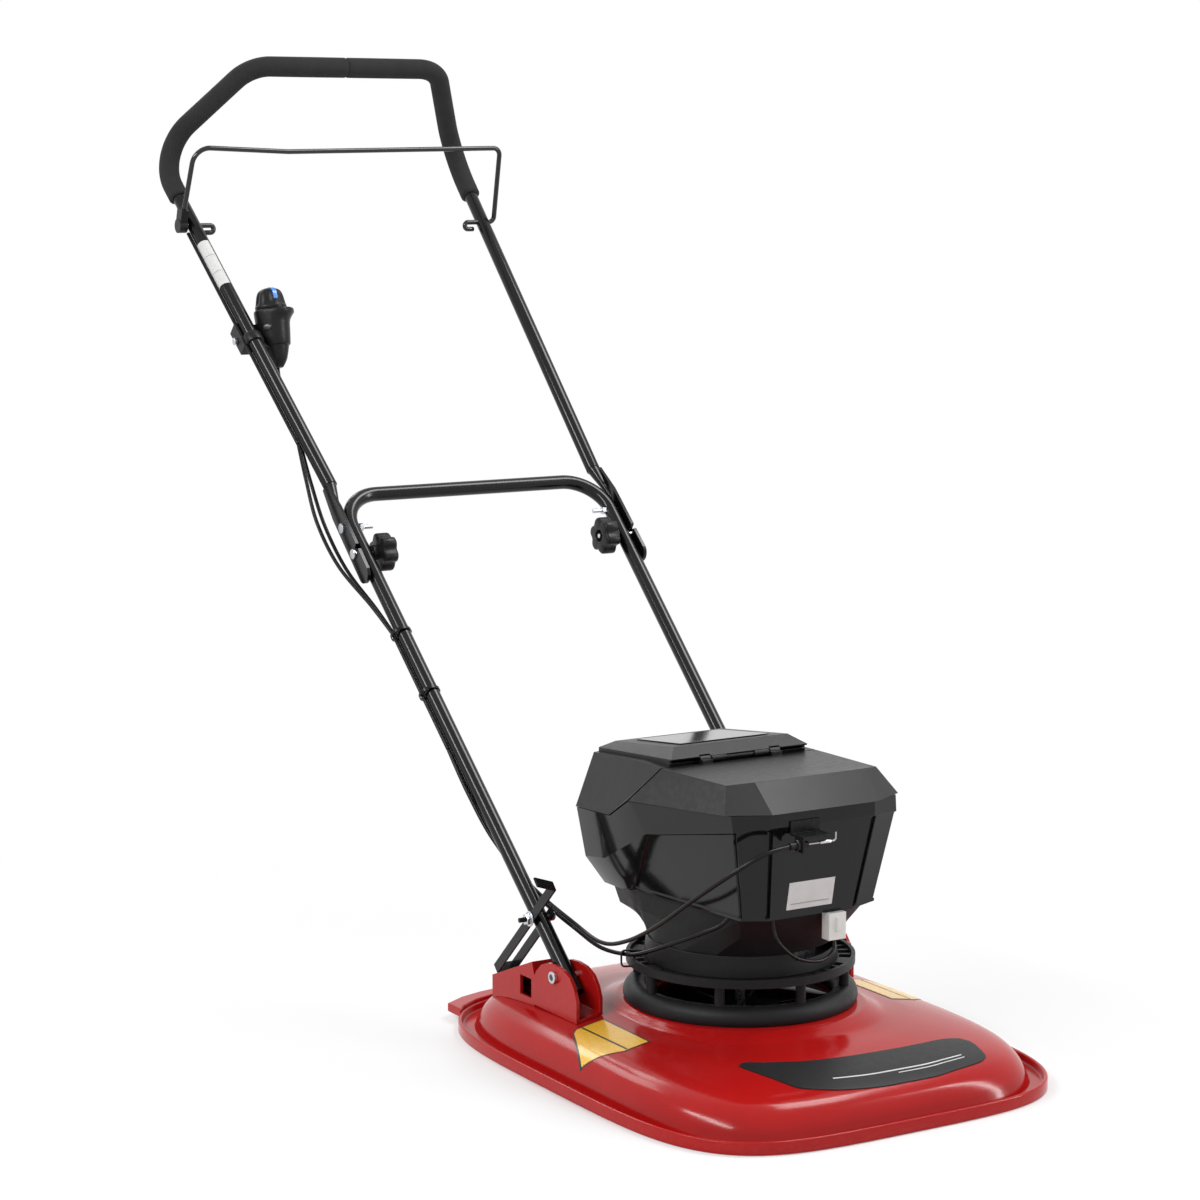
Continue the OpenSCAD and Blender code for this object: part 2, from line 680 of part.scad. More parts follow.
module rear_skirt() {
    color(red) at_deck() translate([0, 0, skirt_z]) intersection() {
        difference() {
            linear_extrude(skirt_t) polygon(outline(deck_w / 2 + skirt_out, deck_l / 2 + skirt_out,
                rim_power));
            translate([0, 0, -overrun]) linear_extrude(skirt_t + 2 * overrun)
                polygon(outline(deck_w / 2 + seat_gap, deck_l / 2 + seat_gap, rim_power));
        }
        translate([-skirt_side_share * deck_w / 2, skirt_back_share * deck_l / 2, 0])
            cube([skirt_side_share * deck_w, deck_l, skirt_t]);
    }
}

// The badge follows the dome: a strip of cross-sections from its left tip to its right end
badge_t = 1.2;
badge_x_shares = [-0.5, -0.47, -0.4, -0.2, 0, 0.2, 0.35, 0.48, 0.55, 0.58];
badge_back_shares = [-0.56, -0.55, -0.58, -0.64, -0.66, -0.665, -0.66, -0.65, -0.66, -0.69];
badge_front_shares = [-0.58, -0.66, -0.8, -0.86, -0.875, -0.875, -0.86, -0.84, -0.81, -0.72];
badge_steps = 6;
function badge_ring(i) =
    let (x = badge_x_shares[i] * deck_w / 2,
         ys = [for (k = [0 : badge_steps]) mix(badge_front_shares[i], badge_back_shares[i],
             k / badge_steps) * deck_l / 2])
    concat([for (y = ys) [x, y, dome_at(x, y) + seam_gap]],
           [for (k = [badge_steps : -1 : 0]) [x, ys[k], dome_at(x, ys[k]) + seam_gap + badge_t]]);
module front_badge() {
    color(black) at_deck() loft([for (i = [0 : len(badge_x_shares) - 1]) badge_ring(i)]);
}

// Extrusions along Y of a section in XZ, and along X of a section in YZ
module along_y(y0, y1) { translate([0, y1, 0]) rotate([90, 0, 0]) linear_extrude(y1 - y0) children(); }
module along_x(x0, x1) { translate([x0, 0, 0]) rotate([90, 0, 90]) linear_extrude(x1 - x0) children(); }

module ear_section() {
    channel_out = bracket_out - ear_t;
    channel_in = bracket_in + ear_t;
    polygon([[bracket_in, bracket_in_z], [bracket_out, bracket_out_z], [bracket_out, ear_z1],
        [channel_out, ear_z1],
             [channel_out, bracket_out_z + bracket_floor_t], [channel_in, bracket_in_z + bracket_floor_t],
             [channel_in, ear_z1], [bracket_in, ear_z1]]);
}

// The hollow block behind the ears: its foot follows the dome
function block_ring(y, inset, down, cover) =
    let (x0 = bracket_in + inset, x1 = bracket_out - inset)
    concat([for (k = [0 : block_steps]) let (x = mix(x0, x1, k / block_steps))
                [x, y, dome_at(x, y) + seam_gap - down]],
           [[x1, y, block_z(y) - cover], [x0, y, block_z(y) - cover]]);
module block_loft(y0, y1, inset, down, cover) {
    loft([for (k = [0 : block_rows]) block_ring(mix(y1, y0, k / block_rows), inset, down, cover)]);
}

module bracket() {
    window_y0 = mix(block_y0, block_y1, window_y_shares[0]);
    window_foot = dome_at(bracket_out, window_y0) + seam_gap;
    window_h = block_z(window_y0) - window_foot;
    difference() {
        union() {
            intersection() {
                along_y(ear_y0, ear_y1) ear_section();
                along_x(bracket_in, bracket_out) polygon(concat(
                    [for (s = ear_shares) [ear_y0 + s[0] * ear_l, mix(ear_z0, ear_z1, s[1])]], [[ear_y1,
                        ear_z0]]));
            }
            difference() {
                block_loft(block_y0, block_y1, 0, 0, 0);
                block_loft(block_y0 + block_wall, block_y1 - block_wall, block_wall, 2 * overrun,
                           block_wall);
            }
        }
        along_x(bracket_in - overrun, bracket_out + overrun)
            polygon([[block_y0 - notch_w / 4, ear_z1 + overrun], [block_y0 + notch_w, ear_z1 + overrun],
                     [block_y0, mix(ear_z0, ear_z1, notch_z_share)]]);
        translate([bracket_out - block_wall - overrun, window_y0,
                   window_foot + window_z_shares[0] * window_h])
            cube([block_wall + 2 * overrun, (window_y_shares[1] - window_y_shares[0]) * block_l,
                  (window_z_shares[1] - window_z_shares[0]) * window_h]);
        rod([bracket_in - overrun, pivot_y, pivot_z], [bracket_out + overrun, pivot_y, pivot_z],
            bolt_d + 2 * run_fit);
    }
}

module pivot_bracket_far() { color(red) at_deck() bracket(); }
module pivot_bracket_near() { color(red) mirror([1, 0, 0]) at_deck() bracket(); }

module pivot_bolts() {
    color(zinc) both_sides() at_deck() translate([0, pivot_y, pivot_z]) {
        rod([bracket_in - bolt_nut_t - seat_gap, 0, 0], [bracket_out + seat_gap, 0, 0], bolt_d);
        rod([bracket_out + seat_gap, 0, 0], [bracket_out + seat_gap + bolt_head_t, 0, 0], bolt_head_d);
        translate([bracket_in - seat_gap - bolt_nut_t, 0, 0]) rotate([0, 90, 0])
            cylinder(h = bolt_nut_t, d = bolt_nut_d, $fn = 6);
    }
}

// Air intake and motor base
module ring_of(count, turn0 = 0) { for (i = [0 : count - 1]) rotate([0, 0,
    turn0 + 360 * i / count]) children(); }

module intake_lip() {
    color(black) at_motor() difference() {
        translate([0, 0, lip_z]) rotate_extrude() translate([lip_r, 0]) circle(d = lip_d);
        translate([0, 0, lip_z - lip_d]) cylinder(h = deck_h - lip_z + lip_d, d = lip_od + 2 * overrun);
        ring_of(post_count) translate([lip_r, 0, post_seat]) cylinder(h = lip_d, d = post_d + 2 * run_fit);
    }
}

module ring_posts() {
    color(black) at_motor() ring_of(post_count) translate([lip_r, 0, post_seat])
        cylinder(h = ring_plate_z - post_seat, d = post_d);
}

module vent_ring() {
    bay_step = 360 / (post_count * (bay_slots + 1));
    slot_w = slot_share * 2 * slot_r1 * sin(bay_step / 2);
    color(black) at_motor() difference() {
        union() {
            translate([0, 0, ring_z - ring_h]) difference() {
                cylinder(h = ring_h, d = ring_od);
                translate([0, 0, -overrun]) cylinder(h = ring_h + 2 * overrun, r = slot_r1);
            }
            translate([0, 0, ring_plate_z]) cylinder(h = ring_plate_t, r = slot_r1 + ring_wall / 2);
        }
        translate([0, 0, ring_plate_z - overrun]) cylinder(h = ring_plate_t + 2 * overrun, d = ring_bore);
        for (k = [1 : bay_slots]) ring_of(post_count, k * bay_step)
            translate([slot_r0, -slot_w / 2, ring_plate_z - overrun])
                cube([slot_r1 - slot_r0 - seat_gap, slot_w, ring_plate_t + 2 * overrun]);
    }
}

module motor_base() {
    r = base_od / 2;
    top_r = r - base_taper;
    color(satin) at_motor() difference() {
        translate([0, 0, base_z]) rotate_extrude()
            polygon([[shaft_d / 2 + bearing_lip, 0], [r, 0], [top_r, base_h], [top_r - base_wall, base_h],
                     [r - base_wall, base_plate_t], [boss_d / 2, base_plate_t], [boss_d / 2, boss_h],
                     [bearing_od / 2 + run_fit, boss_h], [bearing_od / 2 + run_fit, boss_h - bearing_h],
                     [shaft_d / 2 + bearing_lip, boss_h - bearing_h]]);
        intersection() {
            translate([0, -r - overrun, base_top - notch_h]) cube([r, r, notch_h + overrun]);
            rotate([0, 0, -notch_turn / 2]) translate([0, -r - overrun, base_top - notch_h])
                cube([r, r, notch_h + overrun]);
        }
    }
}

// Motor
module motor_can() {
    r = can_od / 2;
    color(steel) at_motor() translate([0, 0, can_z]) rotate_extrude()
        polygon([[r - can_wall, 0], [r, 0], [r, can_h], [shaft_d / 2 + bearing_lip, can_h],
                 [shaft_d / 2 + bearing_lip, can_h - can_wall], [bearing_od / 2 + run_fit,
                     can_h - can_wall],
                 [bearing_od / 2 + run_fit, can_h - can_wall - bearing_h], [boss_d / 2,
                     can_h - can_wall - bearing_h],
                 [boss_d / 2, can_h - can_wall], [r - can_wall, can_h - can_wall]]);
}
stator_r = can_od / 2 - can_wall - run_fit;
rotor_r = stator_r - stator_t - air_gap;
module tube_ring(z, h, outer_r, inner_r) {
    translate([0, 0, z]) difference() {
        cylinder(h = h, r = outer_r);
        translate([0, 0, -overrun]) cylinder(h = h + 2 * overrun, r = inner_r);
    }
}
module motor_stator() { color([0.6, 0.35, 0.15]) at_motor() tube_ring(stator_z, stator_h, stator_r,
    stator_r - stator_t); }
module motor_rotor() { color(steel) at_motor() tube_ring(rotor_z, rotor_h, rotor_r,
    shaft_d / 2 + run_fit); }

shaft_top = can_z + can_h - run_fit;
thread_d = 8;
thread_l = 16;
module motor_shaft() {
    color(steel) at_motor() difference() {
        translate([0, 0, shaft_z0]) cylinder(h = shaft_top - shaft_z0, d = shaft_d);
        translate([0, 0, shaft_z0 - overrun]) cylinder(h = thread_l + overrun, d = thread_d + 2 * run_fit);
    }
}
module shaft_bearings() {
    low_z = base_z + boss_h - bearing_h;
    high_z = can_z + can_h - can_wall - bearing_h;
    color(zinc) at_motor() for (z = [low_z, high_z])
        tube_ring(z + run_fit, bearing_h - 2 * run_fit, bearing_od / 2, shaft_d / 2 + run_fit);
}

// Impeller and cutter
blade_top = blade_z + blade_t;
module impeller() {
    vane_r0 = vane_start_share * impeller_d / 2;
    color(satin) at_motor() {
        difference() {
            union() {
                translate([0, 0, fan_z]) cylinder(h = fan_plate_t, d = impeller_d);
                translate([0, 0, blade_top + seat_gap]) cylinder(h = fan_z + fan_vane_h - blade_top,
                    d = fan_hub_d);
                ring_of(fan_vanes) translate([vane_r0, -fan_vane_t / 2, fan_z])
                    cube([impeller_d / 2 - vane_r0 - fan_vane_t, fan_vane_t, fan_plate_t + fan_vane_h]);
            }
            translate([0, 0, blade_z]) cylinder(h = fan_z + fan_vane_h, d = shaft_d + 2 * run_fit);
        }
    }
}
module cutter_blade() {
    ear = blade_ear_share * blade_l;
    color(steel) at_motor() translate([0, 0, blade_z]) difference() {
        union() {
            intersection() {
                translate([-blade_l / 2, -blade_w / 2, 0]) cube([blade_l, blade_w, blade_t]);
                cylinder(h = blade_t, d = blade_l);
            }
            ring_of(2) intersection() {
                translate([blade_l / 2 - ear, blade_w / 4, 0]) cube([ear, blade_t, blade_t + blade_lift]);
                cylinder(h = blade_t + blade_lift, d = blade_l);
            }
        }
        translate([0, 0, -overrun]) cylinder(h = blade_t + 2 * overrun, d = thread_d + 2 * run_fit);
    }
}
module blade_bolt() {
    color(zinc) at_motor() {
        translate([0, 0, blade_z - blade_bolt_head]) cylinder(h = blade_bolt_head, d = blade_bolt_d);
        translate([0, 0, blade_z]) cylinder(h = shaft_z0 + thread_l - blade_z - seat_gap, d = thread_d);
    }
}

// Housing mouldings
module lower_casing() {
    color(black) at_deck() difference() {
        loft([casing_ring(casing_low_shares), casing_ring(casing_mid_shares),
            casing_ring(casing_top_shares)]);
        loft([at_height(casing_ring(casing_low_shares, -casing_wall), inner_floor),
              casing_ring(casing_mid_shares, -casing_wall), casing_ring(casing_top_shares, -casing_wall,
                  overrun)]);
    }
}

// The tray funnels from the housing's lower edge in to the motor base
function about_motor(p, share, up) = [p[0] * share, motor_y + (p[1] - motor_y) * share, p[2] + up];
function base_point(p, r, z) =
    let (t = atan2(p[1] - motor_y, p[0])) [r * cos(t), motor_y + r * sin(t), z];
tray_steps = 4;
function divided(ring, k) =
    [for (i = [0 : len(ring) - 1]) for (j = [0 : k - 1]) mix(ring[i], ring[(i + 1) % len(ring)], j / k)];
module tray_loft(ring, r, z, share, up) {
    low = [for (p = ring) base_point(p, r, z)];
    high = [for (p = ring) about_motor(p, share, up)];
    loft([low, [for (i = [0 : len(ring) - 1]) tray_point(low[i], high[i])], high]);
}

function tray_point(low, high) =
    let (front = casing_low_shares[0][1] * casing_l,
         rear = casing_low_shares[len(casing_low_shares) - 1][1] * casing_l,
         k = max(0, min(1, (high[1] - front) / (rear - front))),
         out = mix(tray_front_share, tray_rear_share, k * k))
    [mix(low[0], high[0], out), mix(low[1], high[1], out), mix(low[2], high[2], tray_mid_share)];

module casing_tray() {
    ring = divided(casing_ring(casing_low_shares), tray_steps);
    top_r = base_od / 2 - base_taper - seat_gap;
    low_z = base_top + seat_gap;
    inner_share = tray_scale_share - 2 * casing_wall / casing_w;
    color(black) at_deck() difference() {
        tray_loft(ring, top_r, low_z, tray_scale_share, -tray_drop);
        tray_loft(ring, top_r - casing_wall, low_z - overrun, inner_share, overrun);
    }
}

// The cover is open below and at its slanted back, the lid below and at its slanted front
function open_back(ring, by) = [for (p = ring) p[1] > 0 ? p + [0, by, 0] : p];
module hinge_bore() {
    rod([-casing_w, hinge_y, hinge_z], [casing_w, hinge_y, hinge_z], hinge_d + 2 * run_fit);
}
module front_cover() {
    lug_back = hinge_y - seam_gap;
    color(satin) at_deck() difference() {
        union() {
            difference() {
                loft([casing_ring(cover_low_shares, 0, seam_gap), casing_ring(cover_top_shares, 0,
                    seam_gap)]);
                loft([open_back(casing_ring(cover_low_shares, -casing_wall, seam_gap - overrun),
                    2 * casing_wall),
                      open_back(casing_ring(cover_top_shares, -casing_wall, seam_gap - casing_wall),
                          2 * casing_wall)]);
            }
            both_sides() {
                rod([lug_x0, hinge_y, hinge_z], [lug_x1, hinge_y, hinge_z], knuckle_d);
                translate([lug_x0, hinge_y - knuckle_d, cover_edge[2] - casing_wall / 2])
                    cube([lug_x1 - lug_x0, knuckle_d - seam_gap,
                        hinge_z - cover_edge[2] + casing_wall / 2]);
            }
        }
        hinge_bore();
    }
}

function cap_ring(shares, grow, up) =
    full_ring([casing_point(shares[0]) + [-grow, grow, up], casing_point(shares[1]) + [-grow, -grow, up]]);
module battery_lid() {
    pocket_d = knuckle_d + 2 * clear_gap;
    color(satin) at_deck() difference() {
        union() {
            difference() {
                union() {
                    translate([0, lid_seam, seam_gap])
                        loft([casing_ring(lid_low_shares), casing_ring(lid_top_shares)]);
                    loft([cap_ring(cap_low_shares, 0, 0), cap_ring(cap_mid_shares, 0, 0),
                          cap_ring(cap_top_shares, 0, 0)]);
                }
                translate([0, lid_seam, seam_gap])
                    loft([casing_ring(lid_low_shares, -casing_wall, -overrun),
                          casing_ring(lid_top_shares, -casing_wall, -casing_wall)]);
                loft([cap_ring(cap_low_shares, 2 * casing_wall, -casing_wall),
                      cap_ring(cap_mid_shares, casing_wall, -casing_wall),
                      cap_ring(cap_top_shares, casing_wall, -casing_wall)]);
            }
            both_sides() rod([knuckle_x0, hinge_y, hinge_z], [knuckle_x1, hinge_y, hinge_z], knuckle_d);
        }
        both_sides() rod([lug_x0 - seam_gap, hinge_y, hinge_z], [lug_x1 + seam_gap, hinge_y, hinge_z],
            pocket_d);
        hinge_bore();
    }
}
module lid_panel() {
    color(black) at_deck() loft([casing_ring(panel_low_shares), casing_ring(panel_low_shares, 0,
        panel_proud)]);
}
module lid_hinge_pin() {
    color(black) at_deck() rod([-lug_x1, hinge_y, hinge_z], [lug_x1, hinge_y, hinge_z], hinge_d);
}

// Battery, terminal block and controller board
pack_z = inner_floor + seat_gap;
module battery_pack() {
    color(satin) at_deck() translate([-pack_w / 2, pack_y, pack_z]) difference() {
        cube([pack_w, pack_l, pack_h]);
        translate([pack_w / 4, pack_l / 3, pack_h - casing_wall]) cube([pack_w / 2, pack_l / 3,
            2 * casing_wall]);
    }
}
module battery_terminal() {
    color(black) at_deck() translate([-terminal_w / 2, pack_y - seat_gap - terminal_l, pack_z])
        cube([terminal_w, terminal_l, terminal_h]);
}
module controller_board() {
    color([0.1, 0.35, 0.2]) at_deck() translate([-board_w / 2, board_y, pack_z]) {
        for (x = [standoff_in, board_w - standoff_in], y = [standoff_in, board_l - standoff_in])
            translate([x, y, 0]) cylinder(h = board_z + board_t / 2, d = standoff_d);
        translate([0, 0, board_z]) cube([board_w, board_l, board_t]);
        translate([board_w / 4, board_l / 4, board_z + board_t / 2]) cube([chip_w, chip_w, chip_h]);
        translate([3 * board_w / 4, board_l / 2, board_z + board_t / 2]) cylinder(h = capacitor_h,
            d = capacitor_d);
    }
}

// Cable bracket and what it carries on the housing's front
module cable_bracket() {
    color(black) at_deck() difference() {
        union() {
            translate([bracket_x, bracket_y - bracket_t, shelf_z])
                cube([bracket_w, bracket_t, bracket_z - shelf_z]);
            translate([bracket_x, bracket_y - bracket_reach, shelf_z])
                cube([bracket_w, bracket_reach, bracket_t]);
            translate([bracket_x, adjuster_y - bracket_ear, adjuster_z - bracket_ear])
                cube([bracket_t, 2 * bracket_ear, shelf_up + bracket_t + bracket_ear]);
        }
        rod([bracket_x - overrun, adjuster_y, adjuster_z], [bracket_x + bracket_t + overrun, adjuster_y,
            adjuster_z],
            adjuster_d + 2 * run_fit);
    }
}
module along_wire(x) { translate([x, adjuster_y, adjuster_z]) rotate([0, 90, 0]) children(); }
module barrel_adjuster() {
    color(black) at_deck() difference() {
        union() {
            along_wire(adjuster_x) cylinder(h = adjuster_l, d = adjuster_d);
            for (x = [bracket_x - adjuster_nut_t - seat_gap, bracket_x + bracket_t + seat_gap])
                along_wire(x) cylinder(h = adjuster_nut_t, d = adjuster_nut_d, $fn = 6);
        }
        along_wire(adjuster_x - overrun) cylinder(h = adjuster_l + 2 * overrun, d = wire_d + 2 * run_fit);
    }
}
module pull_wire() {
    x0 = adjuster_x + wire_in;
    corner = [x0 + wire_l, adjuster_y, adjuster_z];
    color(steel) at_deck() pipe([[x0, adjuster_y, adjuster_z], corner, corner + [0, 0, wire_hook]], [0,
        wire_bend, 0],
                                wire_d);
}
module connector() {
    rib = connector_t / 3;
    color([0.93, 0.93, 0.9]) at_deck() translate([connector_x, connector_y, connector_top - connector_h]) {
        translate([-connector_w / 2, -connector_t / 2, 0]) cube([connector_w, connector_t, connector_h]);
        translate([-rib / 2, -connector_t / 2 - rib / 2, connector_h / 3]) cube([rib, rib,
            connector_h / 2]);
    }
}
module connector_lead() { color(black) at_deck() cord(lead_route, lead_d, [0.3, 1, 0.2]); }

// Lower handle, its bolts and the park strut
module across(x0, x1, s, d) { rod([x0, s, 0], [x1, s, 0], d); }
module lower_handle() {
    ends = [for (e = [-1, 1]) [e * lower_x(-lower_end - overrun), -lower_end - overrun, 0]];
    color(black) at_handle() difference() {
        pipe(lower_path, lower_radii, tube_d);
        pipe([ends[0], lower_path[1], lower_path[2], ends[1]], lower_radii, bore_d);
        both_sides() {
            across(pivot_half - tube_d, pivot_half + tube_d, 0, bolt_d + 2 * run_fit);
            for (s = [fold_s, clamp_s])
                across(lower_x(s) - tube_d, lower_x(s) + tube_d, s, fold_bolt_d + 2 * run_fit);
        }
        across(-strut_x - tube_d, -strut_x + tube_d, strut_s, strut_bolt_d + 2 * run_fit);
    }
}

module at_strut() { at_handle() translate([0, strut_s, 0]) rotate([strut_tilt, 0, 0]) children(); }
module park_strut() {
    leg = -strut_out + strip_t;
    back = -strut_in - strip_t;
    tip = [leg, strut_rise] + [-sin(tab_angle), cos(tab_angle)] * tab_l;
    floor_z = strip_t - strut_drop;
    color(black) at_strut() difference() {
        along_y(-strip_w / 2, strip_w / 2)
            polygon([[-strut_out, -strut_drop], [-strut_in, -strut_drop], [-strut_in, strip_w], [back,
                strip_w],
                     [back, floor_z], [leg, floor_z], [leg, strut_rise], tip,
                     tip - [cos(tab_angle), sin(tab_angle)] * strip_t,
                     [-strut_out, strut_rise - strip_t * tan(tab_angle / 2)]]);
        across(-strut_out - overrun, -strut_in + overrun, 0, strut_bolt_d + 2 * run_fit);
    }
}
module strut_bolt() {
    head_x = strut_out + seat_gap;
    nut_x = strut_in - seat_gap;
    color(zinc) at_handle() {
        across(-head_x, -nut_x + strut_nut_t + clear_gap, strut_s, strut_bolt_d);
        across(-head_x - strut_head_t, -head_x, strut_s, strut_head_d);
        translate([-nut_x, strut_s, 0]) rotate([0, 90, 0]) cylinder(h = strut_nut_t, d = strut_head_d,
            $fn = 6);
    }
}

plate_out = plate_x + plate_t + seat_gap;
fold_in = lower_x(fold_s) - tube_d / 2;
clamp_in = lower_x(clamp_s) - tube_d / 2 - seam_gap;
module fold_bolts() {
    color(zinc) at_handle() both_sides() {
        across(fold_in - fold_tail, plate_out + overrun, fold_s, fold_bolt_d);
        across(plate_out, plate_out + fold_head_t, fold_s, fold_head_d);
        translate([fold_in - seat_gap - fold_nut_t, fold_s, 0]) rotate([0, 90, 0])
            cylinder(h = fold_nut_t, d = fold_nut_d, $fn = 6);
    }
}
module clamp_bolts() {
    color(zinc) at_handle() both_sides() {
        across(clamp_in - knob_boss_h - knob_h, plate_out + overrun, clamp_s, fold_bolt_d);
        across(plate_out, plate_out + fold_head_t, clamp_s, fold_head_d);
    }
}
module star_knob() {
    lobe_r = lobe_place_share * knob_d / 2;
    translate([clamp_in - knob_boss_h, clamp_s, 0]) rotate([0, 90, 0]) difference() {
        union() {
            cylinder(h = knob_boss_h, d = knob_boss_d);
            translate([0, 0, -knob_h]) cylinder(h = knob_h, r = lobe_r);
            ring_of(knob_lobes) translate([lobe_r, 0, -knob_h]) cylinder(h = knob_h,
                r = lobe_share * knob_d / 2);
        }
        translate([0, 0, -knob_h - overrun]) cylinder(h = knob_h + knob_boss_h + 2 * overrun,
            d = fold_bolt_d + 2 * run_fit);
    }
}
module knob_far() { color(satin) at_handle() star_knob(); }
module knob_near() { color(satin) at_handle() mirror([1, 0, 0]) star_knob(); }

// Upper handle: flattened ends outside the lower tube, each with a fold hole and a hook for the clamp bolt
module flat_end() {
    round_s = plate_s0 + plate_w / 2;
    taper_s = tube_s0 - clear_gap;
    tip = [plate_x + plate_t / 2, plate_s1 - plate_w / 2, 0];
    root = [upper_x0, tube_s0 + 2 * clear_gap, 0];
    axis = tip - root;
    along_x(plate_x, plate_x + plate_t)
        polygon([[round_s, -plate_w / 2], [plate_s1, -plate_w / 2], [taper_s, -plate_w / 4], [taper_s,
            plate_w / 4],
                 [plate_s1, plate_w / 2], [round_s, plate_w / 2]]);
    across(plate_x, plate_x + plate_t, round_s, plate_w);
    translate(root) rotate([0, acos(axis[2] / norm(axis)), atan2(axis[1], axis[0])])
        cylinder(h = norm(axis), d1 = tube_d - 2 * seam_gap, d2 = plate_t - seam_gap);
}
module hook_slot() {
    translate([plate_x + plate_t / 2, fold_s, 0]) rotate([0, 90, 0]) rotate([0, 0, 270 - hook_turn])
        rotate_extrude(angle = hook_turn) translate([clamp_step - hook_d / 2, -plate_t]) square([hook_d,
            2 * plate_t]);
    across(plate_x - overrun, plate_x + plate_t + overrun, clamp_s, hook_d + seam_gap);
}
module upper_handle() {
    color(black) at_handle() difference() {
        union() {
            pipe(upper_path, upper_radii, tube_d);
            both_sides() flat_end();
        }
        pipe(upper_path, upper_radii, bore_d);
        both_sides() {
            hook_slot();
            across(plate_x - overrun, plate_x + plate_t + overrun, fold_s, fold_bolt_d + 2 * run_fit);
            across(upper_x(bail_s) - tube_d, upper_x(bail_s) + tube_d, bail_s, bail_d + 2 * run_fit);
        }
    }
}
module grip_half() {
    bar = [0, upper_len - bar_back, bar_rise];
    radii = [0, corner_bend, bar_bend, 0];
    difference() {
        pipe([[-upper_x(foam_s), foam_s, 0], upper_path[1], upper_path[2], bar - [seat_gap, 0, 0]],
            radii, foam_d);
        pipe([upper_path[0], upper_path[1], upper_path[2], bar + [overrun, 0, 0]], radii,
            tube_d + 2 * run_fit);
    }
}
module grip_near() { color(satin) at_handle() grip_half(); }
module grip_far() { color(satin) at_handle() mirror([1, 0, 0]) grip_half(); }

// Bail and the block that takes its cable
module bail() { color(steel) at_handle() pipe(bail_path, bail_radii, bail_d); }
module bail_cable_block() {
    pocket = bail_d + 2 * seam_gap;
    leg_l = norm([bail_reach, bail_rise]);
    color(black) at_handle() difference() {
        translate([-bail_out, bail_s, 0]) {
            across(-drum_w / 2, drum_w / 2, 0, drum_d);
            rotate([atan2(bail_rise, bail_reach), 0, 0]) translate([seam_gap - drum_w / 2, 0, -block_w / 2])
                cube([drum_w - 2 * seam_gap, block_rise, block_w]);
        }
        translate([-bail_out, bail_s, 0]) rotate([atan2(bail_rise, bail_reach), 0, 0]) {
            translate([-pocket / 2, -pocket / 2, -pocket / 2])
                cube([bail_foot_bend + pocket, bail_foot_bend + pocket / 2, pocket]);
            rod([0, 0, 0], [bail_pull * block_rise * 2 / leg_l, block_rise * 2, 0], bail_d + 2 * run_fit);
        }
    }
}

// Switch pod on its clamp
pod_base = [pod_x, pod_s - pod_back, -pod_under];
module at_pod() { at_handle() translate(pod_base) rotate([pod_tilt - 90, 0, 0]) children(); }
module pod_body(grow) {
    rotate_extrude() polygon(concat([[0, 0]], [for (s = pod_shares) [s[0] * pod_d / 2 + grow,
        s[1] * pod_l]], [[0, pod_l]]));
}
module switch_pod() {
    brim_r = brim_share * pod_d / 2;
    color(black) at_pod() {
        pod_body(0);
        intersection() {
            translate([0, 0, pod_shares[4][1] * pod_l]) cylinder(h = brim_t, r = brim_r);
            translate([-brim_share_in * pod_d, -pod_d, 0]) cube([2 * pod_d, 2 * pod_d, 2 * pod_l]);
        }
        translate([0, 0, pod_l - overrun]) cylinder(h = spigot_h + overrun, d = spigot_d);
    }
}
head_z = pod_l + seat_gap;
module switch_knob() {
    color(satin) at_pod() translate([0, 0, head_z]) difference() {
        rotate_extrude() polygon([[spigot_d / 2 + run_fit, 0], [head_d / 2, 0], [head_d / 2,
            head_h - head_crown],
                                  [head_d / 2 - head_crown, head_h], [0, head_h], [0, spigot_h],
                                  [spigot_d / 2 + run_fit, spigot_h]]);
        translate([-head_groove / 2, -head_d, head_h - head_groove_depth]) cube([head_groove, 2 * head_d,
            head_h]);
    }
}
module switch_mark() {
    color([0.1, 0.35, 0.75]) at_pod()
        translate([-mark_w / 2, -mark_l, head_z + head_h - head_groove_depth]) cube([mark_w, mark_l,
            mark_t]);
}
module pod_clamp() {
    half = tube_d / 2 + clamp_wall;
    ends = [for (k = [-1, 1]) let (s = pod_s + k * clamp_l) [-upper_x(s), s, 0]];
    cable_ends = [for (s = [bail_s, upper_cable_s]) beside(upper_x(s), s, bail_cable_shares)];
    color(black) difference() {
        at_handle() translate([-upper_x(pod_s) - half, pod_s - clamp_l / 2, -half - clamp_low])
            cube([2 * half + pod_gap + clamp_wall, clamp_l, 2 * half + clamp_low]);
        at_handle() rod(ends[0], ends[1], tube_d + 2 * run_fit);
        at_handle() rod(cable_ends[0], cable_ends[1], cable_d + 2 * seat_gap);
        at_pod() pod_body(seat_gap);
        at_handle() translate([0, 0, -pod_bolt_drop])
            across(-upper_x(pod_s) - 2 * half, -upper_x(pod_s) + 2 * half, pod_s, pod_bolt_d + 2 * run_fit);
    }
}
module pod_bolt() {
    half = tube_d / 2 + clamp_wall;
    head_x = -upper_x(pod_s) - half - seat_gap;
    color(zinc) at_handle() translate([0, 0, -pod_bolt_drop]) {
        across(head_x, -upper_x(pod_s) + half, pod_s, pod_bolt_d);
        across(head_x - pod_head_t, head_x, pod_s, pod_head_d);
    }
}

